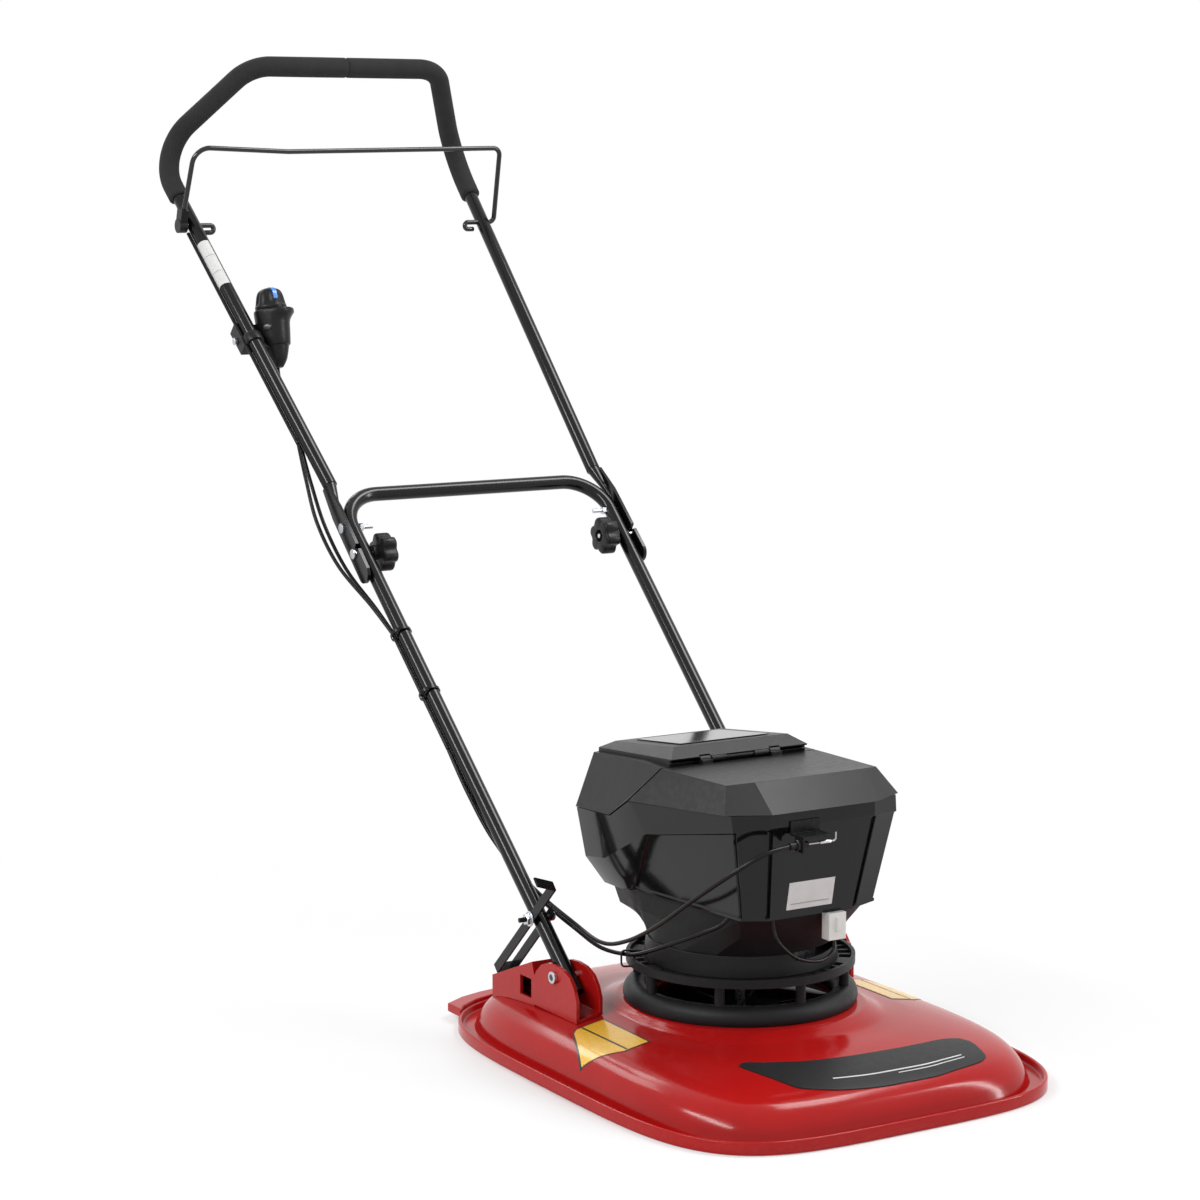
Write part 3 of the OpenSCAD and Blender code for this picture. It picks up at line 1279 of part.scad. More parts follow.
// Cables held along the handle, their ties, and the free spans
pod_axis = [0, cos(pod_tilt), sin(pod_tilt)];
module upper_cables() {
    drum_end = bail_s - drum_d / 2 - seam_gap;
    color(black) at_handle() {
        rod(beside(upper_x(drum_end), drum_end, bail_cable_shares),
            beside(upper_x(upper_cable_s), upper_cable_s, bail_cable_shares), cable_d);
        pipe([pod_base - pod_axis * seat_gap, pod_base - pod_axis * pod_drop,
              beside(upper_x(upper_cable_s), upper_cable_s, switch_cable_shares)], [0, pod_turn, 0],
                  cable_d);
    }
}
module lower_cables() {
    color(black) at_handle() for (c = [bail_cable_shares, switch_cable_shares])
        rod(beside(lower_x(tie_upper_s), tie_upper_s, c), beside(lower_x(held_s), held_s, c), cable_d);
}
module bridge_cables() {
    color(black) at_handle() {
        cord(bail_bridge_route, cable_d);
        cord(switch_bridge_route, cable_d);
    }
}
module cable_ties() {
    along = unit([lower_x(0) - lower_x(lower_len), lower_len, 0]);
    inner_d = tube_d + 2 * (tie_shift + tie_slack);
    place = unit([-1, 0, -1]) * tie_shift;
    color(black) at_handle() for (s = [tie_upper_s, tie_lower_s]) difference() {
        rod([-lower_x(s), s, 0] + place - along * tie_w / 2, [-lower_x(s), s,
            0] + place + along * tie_w / 2,
            inner_d + 2 * tie_t);
        rod([-lower_x(s), s, 0] + place - along * tie_w, [-lower_x(s), s, 0] + place + along * tie_w,
            inner_d);
    }
}
module bail_cable_arc() { color(black) at_deck() cord(bail_arc_route, cable_d); }
module switch_cable_arc() { color(black) at_deck() cord(switch_arc_route, cable_d); }
module ring_tie() {
    w = ring_tie_out + ring_tie_in;
    h = ring_h + ring_tie_up + ring_tie_under;
    color(black) at_motor() rotate([0, 0, ring_tie_turn])
        translate([ring_od / 2 - ring_tie_in, -tie_w / 2, ring_z - ring_h - ring_tie_under]) difference() {
            cube([w, tie_w, h]);
            translate([tie_t, -overrun, tie_t]) cube([w - 2 * tie_t, tie_w + 2 * overrun, h - 2 * tie_t]);
        }
}

deck();
rear_skirt();
front_badge();
pivot_bracket_near();
pivot_bracket_far();
pivot_bolts();
intake_lip();
ring_posts();
vent_ring();
motor_base();
casing_tray();
lower_casing();
front_cover();
battery_lid();
lid_panel();
lid_hinge_pin();
battery_pack();
battery_terminal();
controller_board();
motor_can();
motor_stator();
motor_rotor();
motor_shaft();
shaft_bearings();
impeller();
cutter_blade();
blade_bolt();
cable_bracket();
barrel_adjuster();
pull_wire();
connector();
connector_lead();
lower_handle();
park_strut();
strut_bolt();
fold_bolts();
clamp_bolts();
knob_near();
knob_far();
upper_handle();
grip_near();
grip_far();
bail();
bail_cable_block();
switch_pod();
switch_knob();
switch_mark();
pod_clamp();
pod_bolt();
upper_cables();
bridge_cables();
lower_cables();
cable_ties();
bail_cable_arc();
switch_cable_arc();
ring_tie();
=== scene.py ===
"""Dresses the battery hover mower: smooth surfaces, finishes, cables, light and the photograph's camera."""

import logging
from dataclasses import dataclass, field
from enum import Enum
from typing import Callable, Sequence

import bmesh
import bpy
import numpy as np
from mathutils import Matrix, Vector


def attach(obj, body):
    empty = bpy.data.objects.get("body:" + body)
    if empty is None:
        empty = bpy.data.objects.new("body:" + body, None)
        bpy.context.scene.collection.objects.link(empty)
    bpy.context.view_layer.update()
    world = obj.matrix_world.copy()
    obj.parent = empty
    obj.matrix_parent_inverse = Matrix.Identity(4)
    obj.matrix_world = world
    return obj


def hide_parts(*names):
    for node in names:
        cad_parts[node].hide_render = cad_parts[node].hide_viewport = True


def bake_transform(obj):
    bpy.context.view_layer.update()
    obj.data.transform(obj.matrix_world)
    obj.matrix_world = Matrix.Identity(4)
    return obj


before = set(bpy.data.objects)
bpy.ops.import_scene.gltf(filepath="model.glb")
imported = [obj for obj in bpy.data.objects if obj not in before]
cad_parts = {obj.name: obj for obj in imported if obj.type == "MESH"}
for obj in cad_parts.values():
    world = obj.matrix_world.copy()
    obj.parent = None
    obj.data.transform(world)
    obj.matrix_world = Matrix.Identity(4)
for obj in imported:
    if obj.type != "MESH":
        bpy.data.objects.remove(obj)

LOG = logging.getLogger("mower")
Array = np.ndarray
Piece = bpy.types.Object
Socket = bpy.types.NodeSocket
Triple = tuple[float, float, float]
Pair = tuple[float, float]
Table = Sequence[Sequence[float]]

# Sizes are in millimetres and angles in degrees, unless a comment says otherwise
# A millimetre in metres, and where the middle of the deck lies along Y
MM = 0.001
DECK_Y = -396.977
RIGHT, BACK, UP = np.eye(3)
WHITE = (1.0, 1.0, 1.0, 1.0)
# A direction that no line of the mower follows
ASKEW = (0.31, 0.17, 0.93)
# Distances in metres below which points of a new mesh, of a CAD mesh and of a cut are one
MERGE, NODE_MERGE, CUT_MERGE = 1e-6, 3e-6, 1e-7
# Faces of a CAD mesh that differ by less than this many degrees are joined
FLAT_ANGLE = 0.6
# Share of a rod's end rounding at which it has its middle ring
ROUND_SHARE = 0.3
# Strips across a rounded edge
ROUND_STEPS = 3


class Slot(Enum):
    """Material slots of the record."""

    RED = "red_moulding"
    GLOSS = "black_gloss"
    SATIN = "black_satin"
    TUBE = "tube_paint"
    FOAM = "foam"
    ZINC = "zinc"
    STEEL = "steel"
    CABLE = "cable_sheath"
    WHITE = "white_plastic"
    BLUE = "blue_plastic"


class Grain(Enum):
    """Kinds of surface texture."""

    SPECKLE = "speckle"
    PORES = "pores"
    BRUSHED = "brushed"
    ORANGE_PEEL = "orange peel"


class NodeSketch:
    """Adds and joins the shader nodes of one material or of the world."""

    def __init__(self, owner: bpy.types.Material | bpy.types.World) -> None:
        """Starts with an empty node tree.

        Args:
            owner: the material or world that the nodes belong to.
        """
        owner.use_nodes = True
        self.tree = owner.node_tree
        self.tree.nodes.clear()

    def add(self, kind: str, settings: dict | None = None, inputs: dict | None = None) -> bpy.types.Node:
        """Adds one node.

        Args:
            kind: Blender's name of the node type, without its prefix.
            settings: values of the node's own properties.
            inputs: a socket to link or a constant value for each input, by name or number.

        Returns:
            The new node.
        """
        node = self.tree.nodes.new(f"ShaderNode{kind}")
        for key, value in (settings or {}).items():
            setattr(node, key, value)
        for key, value in (inputs or {}).items():
            if isinstance(value, Socket):
                self.tree.links.new(value, node.inputs[key])
            else:
                node.inputs[key].default_value = value
        return node

    def math(self, operation: str, first: Socket, second: Socket) -> Socket:
        """Works out one operation on two values and returns its socket."""
        return self.add("Math", {"operation": operation}, {0: first, 1: second}).outputs[0]

    def noise(self, place: Socket, scale: float, detail: float, roughness: float) -> Socket:
        """A cloudy pattern in the coordinates given by place, as a socket."""
        inputs = {"Vector": place, "Scale": scale, "Detail": detail, "Roughness": roughness}
        return self.add("TexNoise", {}, inputs).outputs["Fac"]

    def spread(self, source: Socket, low: float, high: float, to: Pair) -> Socket:
        """Maps values between low and high onto the range given by to, and returns the socket."""
        inputs = {"Value": source, "From Min": low, "From Max": high, "To Min": to[0], "To Max": to[1]}
        return self.add("MapRange", {}, inputs).outputs["Result"]

    def blend(self, share: Socket, first: object, second: object) -> Socket:
        """Mixes two colours, each a socket or four numbers, by a share, and returns the socket."""
        return self.add("Mix", {"data_type": "RGBA"}, {"Factor": share, 6: first, 7: second}).outputs[2]


@dataclass(frozen=True)
class Finish:
    """One finish: a mottled colour, a roughness that varies, a fine texture and worn edges."""

    name: str
    colour: Triple
    tint: Triple
    worn: Triple
    roughness: float
    rough_spread: float = 0.05
    metallic: float = 0.0
    coat: float = 0.0
    specular: float = 0.5
    grain: Grain = Grain.ORANGE_PEEL
    grain_scale: float = 300.0
    bump: float = 0.1
    bump_depth: float = 0.0003
    cloud_scale: float = 14.0
    wear: float = 0.3
    coat_roughness: float = 0.06
    brush_stretch: Triple = (1.0, 0.06, 1.0)
    grain_noise: Pair = (2.0, 0.6)
    speckle_noise: Pair = (6.0, 0.6)
    cloud_noise: Pair = (5.0, 0.62)
    scuff_noise: Pair = (7.0, 0.7)
    scuff_ratio: float = 9.0
    noise_span: Pair = (0.3, 0.7)
    edge_span: Pair = (0.515, 0.6)
    patch_span: Pair = (0.45, 0.72)

    def material(self) -> bpy.types.Material:
        """Builds the material, or returns the one that exists."""
        known = bpy.data.materials.get(self.name)
        return known if known is not None else self._build()

    def _texture(self, sketch: NodeSketch, place: Socket) -> Socket:
        """The fine texture: noise, cells or stretched noise.

        Args:
            sketch: the material's nodes.
            place: the object's coordinates.

        Returns:
            The socket of its height.
        """
        if self.grain is Grain.PORES:
            pores = sketch.add("TexVoronoi", {"feature": "F1"}, {"Vector": place, "Scale": self.grain_scale})
            return pores.outputs["Distance"]
        if self.grain is Grain.BRUSHED:
            place = sketch.add("Mapping", {}, {"Vector": place, "Scale": self.brush_stretch}).outputs["Vector"]
        fine = self.speckle_noise if self.grain is Grain.SPECKLE else self.grain_noise
        return sketch.noise(place, self.grain_scale, *fine)

    def _build(self) -> bpy.types.Material:
        """Joins clouds of colour, worn edges, a varied roughness and the texture's bump into one surface.

        Returns:
            The new material.
        """
        material = bpy.data.materials.new(self.name)
        sketch = NodeSketch(material)
        place = sketch.add("TexCoord").outputs["Object"]
        cloud = sketch.noise(place, self.cloud_scale, *self.cloud_noise)
        scuff = sketch.noise(place, self.cloud_scale * self.scuff_ratio, *self.scuff_noise)
        mottle = sketch.spread(cloud, *self.noise_span, (0.0, 1.0))
        body = sketch.blend(mottle, (*self.colour, 1.0), (*self.tint, 1.0))
        edge = sketch.spread(sketch.add("NewGeometry").outputs["Pointiness"], *self.edge_span, (0.0, 1.0))
        worn = sketch.math("MULTIPLY", edge, sketch.spread(scuff, *self.patch_span, (0.0, self.wear)))
        low, high = self.roughness - self.rough_spread, self.roughness + self.rough_spread
        bump = sketch.add("Bump", {}, {"Strength": self.bump, "Distance": self.bump_depth,
                                       "Height": self._texture(sketch, place)})
        shader = sketch.add("BsdfPrincipled", {}, {
            "Metallic": self.metallic, "Coat Weight": self.coat, "Coat Roughness": self.coat_roughness,
            "Specular IOR Level": self.specular, "Base Color": sketch.blend(worn, body, (*self.worn, 1.0)),
            "Roughness": sketch.spread(scuff, *self.noise_span, (low, high)), "Normal": bump.outputs["Normal"]})
        sketch.add("OutputMaterial", {}, {"Surface": shader.outputs["BSDF"]})
        return material


def grey(level: float, cool: float = 0.0) -> Triple:
    """A grey colour of a level, with a little more or less blue."""
    return level, level, level + cool


RED_GLOSS = Finish("red_gloss", (0.42, 0.0085, 0.008), (0.38, 0.0065, 0.0065), (0.55, 0.08, 0.06), 0.16, 0.03,
                   coat=0.05, specular=0.2, grain_scale=160.0, bump=0.05, wear=0.4)
GLOSS_BLACK = Finish("gloss_black", grey(0.004, 0.0005), grey(0.006, 0.0005), grey(0.05), 0.09, 0.02,
                     specular=0.28, grain_scale=240.0, bump=0.04, wear=0.2)
PANEL_GLOSS = Finish("panel_gloss", grey(0.006, 0.0005), grey(0.008, 0.0005), grey(0.05), 0.1, 0.03,
                     specular=0.6, grain_scale=240.0, bump=0.03, wear=0.2)
SATIN_BLACK = Finish("satin_black", grey(0.007, 0.001), grey(0.01, 0.001), grey(0.07), 0.38, 0.06,
                     specular=0.31, grain=Grain.SPECKLE, grain_scale=900.0, bump=0.5, bump_depth=0.0004)
GRAINED_BLACK = Finish("grained_black", grey(0.008, 0.001), grey(0.011, 0.001), grey(0.06), 0.46, 0.07,
                       specular=0.18, grain=Grain.SPECKLE, grain_scale=700.0, bump=0.6, bump_depth=0.0005)
KNOB_BLACK = Finish("knob_black", grey(0.006, 0.001), grey(0.009, 0.001), grey(0.07), 0.34, 0.06,
                    specular=0.2, grain=Grain.SPECKLE, grain_scale=800.0, bump=0.4)
TUBE_PAINT = Finish("tube_enamel", grey(0.003, 0.0003), grey(0.004, 0.0004), grey(0.03), 0.17, 0.02,
                    specular=0.28, grain_scale=60.0, bump=0.015, wear=0.05)
STRUT_PAINT = Finish("strut_paint", grey(0.006, 0.001), grey(0.009, 0.001), grey(0.1), 0.26,
                     specular=0.2, grain_scale=260.0, bump=0.06, wear=0.1)
FOAM_GREY = Finish("foam_grey", grey(0.02, 0.001), grey(0.026, 0.001), grey(0.05), 0.86, 0.06, specular=0.2,
                   grain=Grain.PORES, grain_scale=1100.0, bump=0.5, bump_depth=0.0004, wear=0.2)
ZINC_BRIGHT = Finish("zinc_bright", (0.62, 0.63, 0.66), (0.52, 0.55, 0.60), grey(0.82), 0.26, 0.1, metallic=1.0,
                     grain=Grain.BRUSHED, grain_scale=700.0, bump=0.12, cloud_scale=60.0)
STEEL_WIRE = Finish("steel_wire", grey(0.46, 0.01), grey(0.36, 0.01), grey(0.7), 0.3, 0.1, metallic=1.0,
                    grain=Grain.BRUSHED, grain_scale=500.0, cloud_scale=40.0)
BAIL_COAT = Finish("bail_coat", grey(0.006, 0.001), grey(0.009, 0.001), grey(0.1), 0.12, 0.03,
                   grain_scale=120.0, bump=0.02, cloud_scale=30.0, wear=0.1)
CORE_IRON = Finish("core_iron", (0.20, 0.18, 0.16), (0.26, 0.21, 0.17), (0.4, 0.36, 0.3), 0.55, 0.1,
                   metallic=0.7, grain=Grain.BRUSHED, bump=0.3)
SHEATH = Finish("cable_jacket", grey(0.004, 0.0005), grey(0.006, 0.0005), grey(0.04), 0.24, 0.02,
                specular=0.2, grain_scale=420.0, bump=0.02, cloud_scale=40.0, wear=0.05)
WHITE_SHELL = Finish("white_shell", grey(0.78, -0.03), grey(0.7, -0.03), grey(0.9, -0.02), 0.32, 0.06,
                     grain_scale=260.0, bump=0.08, cloud_scale=50.0)
LABEL_WHITE = Finish("label_white", grey(0.66, -0.01), grey(0.61, -0.01), grey(0.75), 0.4, 0.06,
                     grain_scale=500.0, bump=0.08, cloud_scale=60.0)
LABEL_GREY = Finish("label_grey", grey(0.28), grey(0.33), grey(0.5), 0.42,
                    grain_scale=500.0, bump=0.06, cloud_scale=60.0)
DECAL_YELLOW = Finish("decal_yellow", (0.88, 0.52, 0.045), (0.82, 0.46, 0.035), (0.92, 0.7, 0.3), 0.26,
                      coat=0.3, grain_scale=240.0, bump=0.05, cloud_scale=40.0)
# Black of the printed decal edges and lines, also used as painted shade in the bolt sockets and the pod's port
PRINT_AND_SHADE_BLACK = Finish("print_and_shade_black", grey(0.01), grey(0.014), grey(0.08), 0.3, grain_scale=240.0, bump=0.05)
BADGE_BLACK = Finish("badge_black", grey(0.012, 0.001), grey(0.016, 0.001), grey(0.07), 0.42,
                     specular=0.2, grain_scale=320.0, bump=0.06)
BLUE_MARK = Finish("blue_mark", (0.02, 0.22, 0.75), (0.02, 0.19, 0.68), (0.3, 0.5, 0.9), 0.3,
                   coat=0.3, grain_scale=260.0, bump=0.06, cloud_scale=60.0)
PACK_SHELL = Finish("battery_shell", grey(0.045, 0.005), grey(0.055, 0.005), grey(0.15), 0.5, 0.08,
                    grain=Grain.SPECKLE, grain_scale=700.0, bump=0.4)
BOARD_GREEN = Finish("board_green", (0.012, 0.09, 0.035), (0.018, 0.13, 0.05), (0.3, 0.3, 0.15), 0.4, 0.08,
                     grain_scale=400.0, bump=0.2, cloud_scale=90.0)


def unit(v: Array) -> Array:
    """Vectors of length one along the last axis."""
    v = np.asarray(v, float)
    return v / np.linalg.norm(v, axis=-1, keepdims=True)


def circle(count: int) -> Array:
    """Even angles once round, in radians."""
    return np.linspace(0, 2 * np.pi, count, endpoint=False)


def points(x: Array | float, y: Array | float, z: Array | float) -> Array:
    """Points from their three coordinates, spread over one grid."""
    return np.stack(np.broadcast_arrays(x, y, z), -1)


def smooth_curve(x: Array, table: Table) -> Array:
    """Reads a table of (x, y) pairs as a smooth curve that doesn't overshoot.

    Each span is a cubic whose end slopes are harmonic means of the chords beside them.

    Args:
        x: places to read.
        table: pairs with rising x.

    Returns:
        The curve's values.
    """
    xs, ys = np.asarray(table, float).T
    step, rise = np.diff(xs), np.diff(ys)
    chord = rise / step
    pair = chord[:-1] * chord[1:]
    inner = np.where(pair > 0, 2 * pair / np.where(pair > 0, chord[:-1] + chord[1:], 1.0), 0.0)
    slope = np.concatenate([chord[:1], inner, chord[-1:]])
    i = np.clip(np.searchsorted(xs, x, side="right") - 1, 0, len(xs) - 2)
    t = np.clip((x - xs[i]) / step[i], 0.0, 1.0)
    h = step[i]
    return ((1 + 2 * t) * (1 - t) ** 2 * ys[i] + t * (1 - t) ** 2 * h * slope[i]
            + t * t * (3 - 2 * t) * ys[i + 1] + t * t * (t - 1) * h * slope[i + 1])


def link_mesh(name: str, mesh: bpy.types.Mesh, angle: float) -> Piece:
    """Links an object for a mesh, shaded smooth except at its sharper edges.

    Args:
        name: the piece's name.
        mesh: its mesh in the part frame.
        angle: edges sharper than this, in degrees, stay sharp.

    Returns:
        The linked object, at the origin.
    """
    mesh.shade_smooth()
    mesh.set_sharp_from_angle(angle=np.radians(angle))
    thing = bpy.data.objects.new(name, mesh)
    bpy.context.scene.collection.objects.link(thing)
    return thing


def put_mesh(name: str, places: Array, faces: list, angle: float = 35.0) -> Piece:
    """Makes an object at the origin from points in millimetres, with its faces turned outwards.

    Args:
        name: the piece's name.
        places: vertices in the part frame, in millimetres.
        faces: vertex numbers of each face.
        angle: edges sharper than this, in degrees, stay sharp.

    Returns:
        The linked object.
    """
    mesh = bpy.data.meshes.new(name)
    mesh.from_pydata((np.asarray(places, float) * MM).tolist(), [], faces)
    work = bmesh.new()
    work.from_mesh(mesh)
    bmesh.ops.remove_doubles(work, verts=work.verts, dist=MERGE)
    bmesh.ops.recalc_face_normals(work, faces=work.faces)
    work.to_mesh(mesh)
    work.free()
    return link_mesh(name, mesh, angle)


def cells(rows: int, cols: int, close_rows: bool = False, close_cols: bool = False) -> tuple[Array, Array]:
    """Numbers the points of a grid and the four-sided faces between them.

    Args:
        rows: rows of the grid.
        cols: points in a row.
        close_rows: the last row joins the first.
        close_cols: the last column joins the first.

    Returns:
        The vertex numbers, with the joined row or column repeated, and the faces.
    """
    index = np.arange(rows * cols).reshape(rows, cols)
    index = np.vstack([index, index[:1]]) if close_rows else index
    index = np.hstack([index, index[:, :1]]) if close_cols else index
    corners = [index[:-1, :-1], index[:-1, 1:], index[1:, 1:], index[1:, :-1]]
    return index, np.stack(corners, -1).reshape(-1, 4)


def skin(name: str, grid: Array, loop: bool = False, angle: float = 35.0) -> Piece:
    """A closed skin over rings of points: the rings join round, and the ends are closed or joined.

    Args:
        name: the piece's name.
        grid: rings by points by three, in millimetres.
        loop: the last ring joins the first; otherwise each end ring is one flat face.
        angle: edges sharper than this stay sharp.

    Returns:
        The object.
    """
    rows, cols = grid.shape[:2]
    index, quads = cells(rows, cols, loop, True)
    faces = quads.tolist()
    if not loop:
        faces += [index[0, :-1].tolist(), index[-1, :-1].tolist()]
    return put_mesh(name, grid.reshape(-1, 3), faces, angle)


def slab(name: str, top: Array, under: Array, angle: float = 35.0) -> Piece:
    """A thin closed sheet between two grids: both faces and the walls round their edge.

    Args:
        name: the piece's name.
        top: points of its upper face, rows by columns by three, in millimetres.
        under: points of its lower face, on a grid of the same shape.
        angle: edges sharper than this stay sharp.

    Returns:
        The object.
    """
    rows, cols = top.shape[:2]
    index, quads = cells(rows, cols)
    count = rows * cols
    rim = np.concatenate([index[0, :-1], index[:-1, -1], index[-1, :0:-1], index[:0:-1, 0]])
    nxt = np.roll(rim, -1)
    walls = np.stack([rim, nxt, nxt + count, rim + count], -1)
    faces = np.vstack([quads, quads[:, ::-1] + count, walls]).tolist()
    return put_mesh(name, np.vstack([top.reshape(-1, 3), under.reshape(-1, 3)]), faces, angle)


def bend_path(corners: Table, radii: Sequence[float], step: float = 5.0) -> Array:
    """Rounds each corner of a polyline by an arc that touches both its sides.

    Args:
        corners: the polyline's points.
        radii: radius at each of them; those of the two ends aren't used.
        step: degrees between the points of an arc.

    Returns:
        The points of the rounded line.
    """
    c = np.asarray(corners, float)
    line = [c[:1]]
    for a, b, d, r in zip(c[:-2], c[1:-1], c[2:], radii[1:-1]):
        u, w = unit(b - a), unit(d - b)
        turn = np.arccos(np.clip(u @ w, -1, 1))
        inward = unit(w - u * (u @ w))
        start = b - u * r * np.tan(turn / 2)
        t = np.linspace(0, turn, max(4, int(np.degrees(turn) / step) + 2))[:, None]
        line.append(start + inward * r + r * (np.sin(t) * u - np.cos(t) * inward))
    return np.vstack(line + [c[-1:]])


def even_path(path: Array, step: float) -> Array:
    """Puts even points on a line, by its length from the start.

    Args:
        path: the line's points.
        step: about how far apart the new points are.

    Returns:
        The new points.
    """
    run = np.concatenate([[0], np.cumsum(np.linalg.norm(np.diff(path, axis=0), axis=1))])
    places = np.linspace(0, run[-1], max(2, int(run[-1] / step) + 1))
    return np.column_stack([np.interp(places, run, axis) for axis in path.T])


def cord_path(route: Table, steps: int = 12) -> Array:
    """A smooth line through a cord's points: a Catmull-Rom cubic on each span.

    Args:
        route: points that the cord passes through.
        steps: points on each span.

    Returns:
        The points of the line.
    """
    r = np.asarray(route, float)
    ends = np.vstack([r[:1], r, r[-1:]])
    a, b, c, d = ends[:-3, None], ends[1:-2, None], ends[2:-1, None], ends[3:, None]
    t = (np.arange(steps) / steps)[None, :, None]
    spans = (2 * b + (c - a) * t + (2 * a - 5 * b + 4 * c - d) * t**2 + (3 * b - a - 3 * c + d) * t**3) / 2
    return np.vstack([spans.reshape(-1, 3), r[-1:]])


def carried_frames(path: Array) -> tuple[Array, Array, Array]:
    """Directions of a line, carried from point to point without twist.

    Args:
        path: the line's points.

    Returns:
        At each point the direction along the line and two directions across it.
    """
    run = unit(np.diff(path, axis=0))
    along = unit(np.vstack([run[:1], run[:-1] + run[1:], run[-1:]]))
    side = unit(np.cross(along[0], ASKEW))
    sides = [side]
    for a in along[1:]:
        side = unit(side - a * (side @ a))
        sides.append(side)
    across = np.array(sides)
    return along, across, np.cross(along, across)


def round_rings(line: Array, frames: Sequence[Array], radius: Array, sides: int) -> Array:
    """Circles round the points of a line: cosine and sine of the angle on the two directions across it.

    Args:
        line: the middles of the circles.
        frames: the directions along and across the line at each of them.
        radius: the radius of each.
        sides: points of a circle.

    Returns:
        Rings by points by three.
    """
    _, u, v = (direction[:, None] for direction in frames)
    t = circle(sides)[None, :, None]
    return line[:, None] + radius[:, None, None] * (np.cos(t) * u + np.sin(t) * v)


def rod_skin(name: str, path: Array, diameter: float, sides: int = 24, edge: float = 0.5) -> Piece:
    """A round bar along a line, with a small rounding at both ends.

    Args:
        name: the piece's name.
        path: points of its centre line.
        diameter: its thickness in millimetres.
        sides: points of a ring.
        edge: size of the rounding.

    Returns:
        The object.
    """
    along, _, _ = carried_frames(path)
    first, last = along[0] * edge, along[-1] * edge
    line = np.vstack([path[0], path[0] + first * ROUND_SHARE, path[0] + first, path[1:-1],
                      path[-1] - last, path[-1] - last * ROUND_SHARE, path[-1]])
    radius = np.full(len(line), diameter / 2)
    radius[[0, -1]] -= edge
    radius[[1, -2]] -= edge * ROUND_SHARE
    return skin(name, round_rings(line, carried_frames(line), radius, sides))


def open_tube(name: str, path: Array, diameter: float, wall: float, deep: float = 18.0, edge: float = 0.5,
              sides: int = 40) -> Piece:
    """A round tube along a line whose open ends show its wall and bore: rings go in, round the end and out.

    Args:
        name: the piece's name.
        path: points of its centre line.
        diameter: its outer diameter in millimetres.
        wall: its wall.
        deep: how far its bore goes in at each end.
        edge: size of the rounding of its ends.
        sides: points of a ring.

    Returns:
        The object.
    """
    frames = carried_frames(path)
    steps = np.array([deep, edge, 0.0, 0.01, edge])[:, None]
    line = np.vstack([path[0] + frames[0][0] * steps, path[1:-1], path[-1] - frames[0][-1] * steps[::-1]])
    r = diameter / 2
    radius = np.full(len(line), r)
    radius[[0, 1, -1, -2]] = r - wall
    radius[[2, -3]] = r - wall + edge
    radius[[3, -4]] = r - edge
    last = len(path) - 1
    take = np.concatenate([np.zeros(len(steps), int), np.arange(1, last), np.full(len(steps), last)])
    return skin(name, round_rings(line, [direction[take] for direction in frames], radius, sides))


def turned(name: str, profile: Table, origin: Array, axes: Sequence[Array],
           swell: Callable[[Array, Array, Array], Array] | None = None, sides: int = 96,
           angle: float = 35.0, loop: bool = False) -> Piece:
    """A turned form: a profile of (radius, height) goes round an axis, and swell may change the radius.

    Args:
        name: the piece's name.
        profile: radius and height of each ring, in millimetres.
        origin: foot of the axis in the part frame.
        axes: two directions across the axis and the axis itself.
        swell: gives the radius from grids of radius, height and angle.
        sides: points of a ring.
        angle: edges sharper than this stay sharp.
        loop: the profile is a closed line, so the form has a bore.

    Returns:
        The object.
    """
    p = np.asarray(profile, float)
    r, z, t = np.broadcast_arrays(p[:, :1], p[:, 1:], circle(sides)[None])
    r = r if swell is None else swell(r, z, t)
    x, y, w = axes
    grid = origin + (r * np.cos(t))[..., None] * x + (r * np.sin(t))[..., None] * y + z[..., None] * w
    return skin(name, grid, loop, angle)


def soften(thing: Piece, edge: float, limit: float) -> None:
    """Rounds the sharp edges of a piece.

    Args:
        thing: the piece.
        edge: radius of the rounded edges in millimetres.
        limit: edges sharper than this, in degrees, are rounded.
    """
    rounding = thing.modifiers.new("rounding", "BEVEL")
    rounding.width = edge * MM
    rounding.segments = ROUND_STEPS
    rounding.limit_method = "ANGLE"
    rounding.angle_limit = np.radians(limit)
    rounding.use_clamp_overlap = True
    rounding.harden_normals = True


def copy_of(node: str, name: str, edge: float, keep: tuple[Array, Array] | None = None,
            limit: float = 28.0) -> Piece:
    """A merged copy of a CAD node with flat faces joined and its edges rounded.

    Args:
        node: the CAD node.
        name: the new piece's name.
        edge: radius of the rounded edges in millimetres; 0 leaves them.
        keep: a point and a direction in millimetres; what lies beyond the point that way is cut off.
        limit: edges sharper than this, in degrees, are rounded.

    Returns:
        The object.
    """
    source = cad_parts[node].data
    co = np.empty(len(source.vertices) * 3, np.float32)
    source.vertices.foreach_get("co", co)
    corner = np.empty(len(source.loops), np.int32)
    source.loops.foreach_get("vertex_index", corner)
    mesh = bpy.data.meshes.new(name)
    mesh.from_pydata(co.reshape(-1, 3).tolist(), [], corner.reshape(-1, 3).tolist())
    work = bmesh.new()
    work.from_mesh(mesh)
    bmesh.ops.remove_doubles(work, verts=work.verts, dist=NODE_MERGE)
    if keep is not None:
        bmesh.ops.bisect_plane(work, geom=work.verts[:] + work.edges[:] + work.faces[:], dist=CUT_MERGE,
                               plane_co=Vector(keep[0] * MM), plane_no=Vector(keep[1]), clear_outer=True)
    bmesh.ops.dissolve_limit(work, angle_limit=np.radians(FLAT_ANGLE), verts=work.verts, edges=work.edges)
    work.to_mesh(mesh)
    work.free()
    thing = link_mesh(name, mesh, limit)
    if edge > 0:
        soften(thing, edge, limit)
    return thing


def paint(thing: Piece, finish: Finish) -> None:
    """Gives an object one finish."""
    thing.data.materials.clear()
    thing.data.materials.append(finish.material())


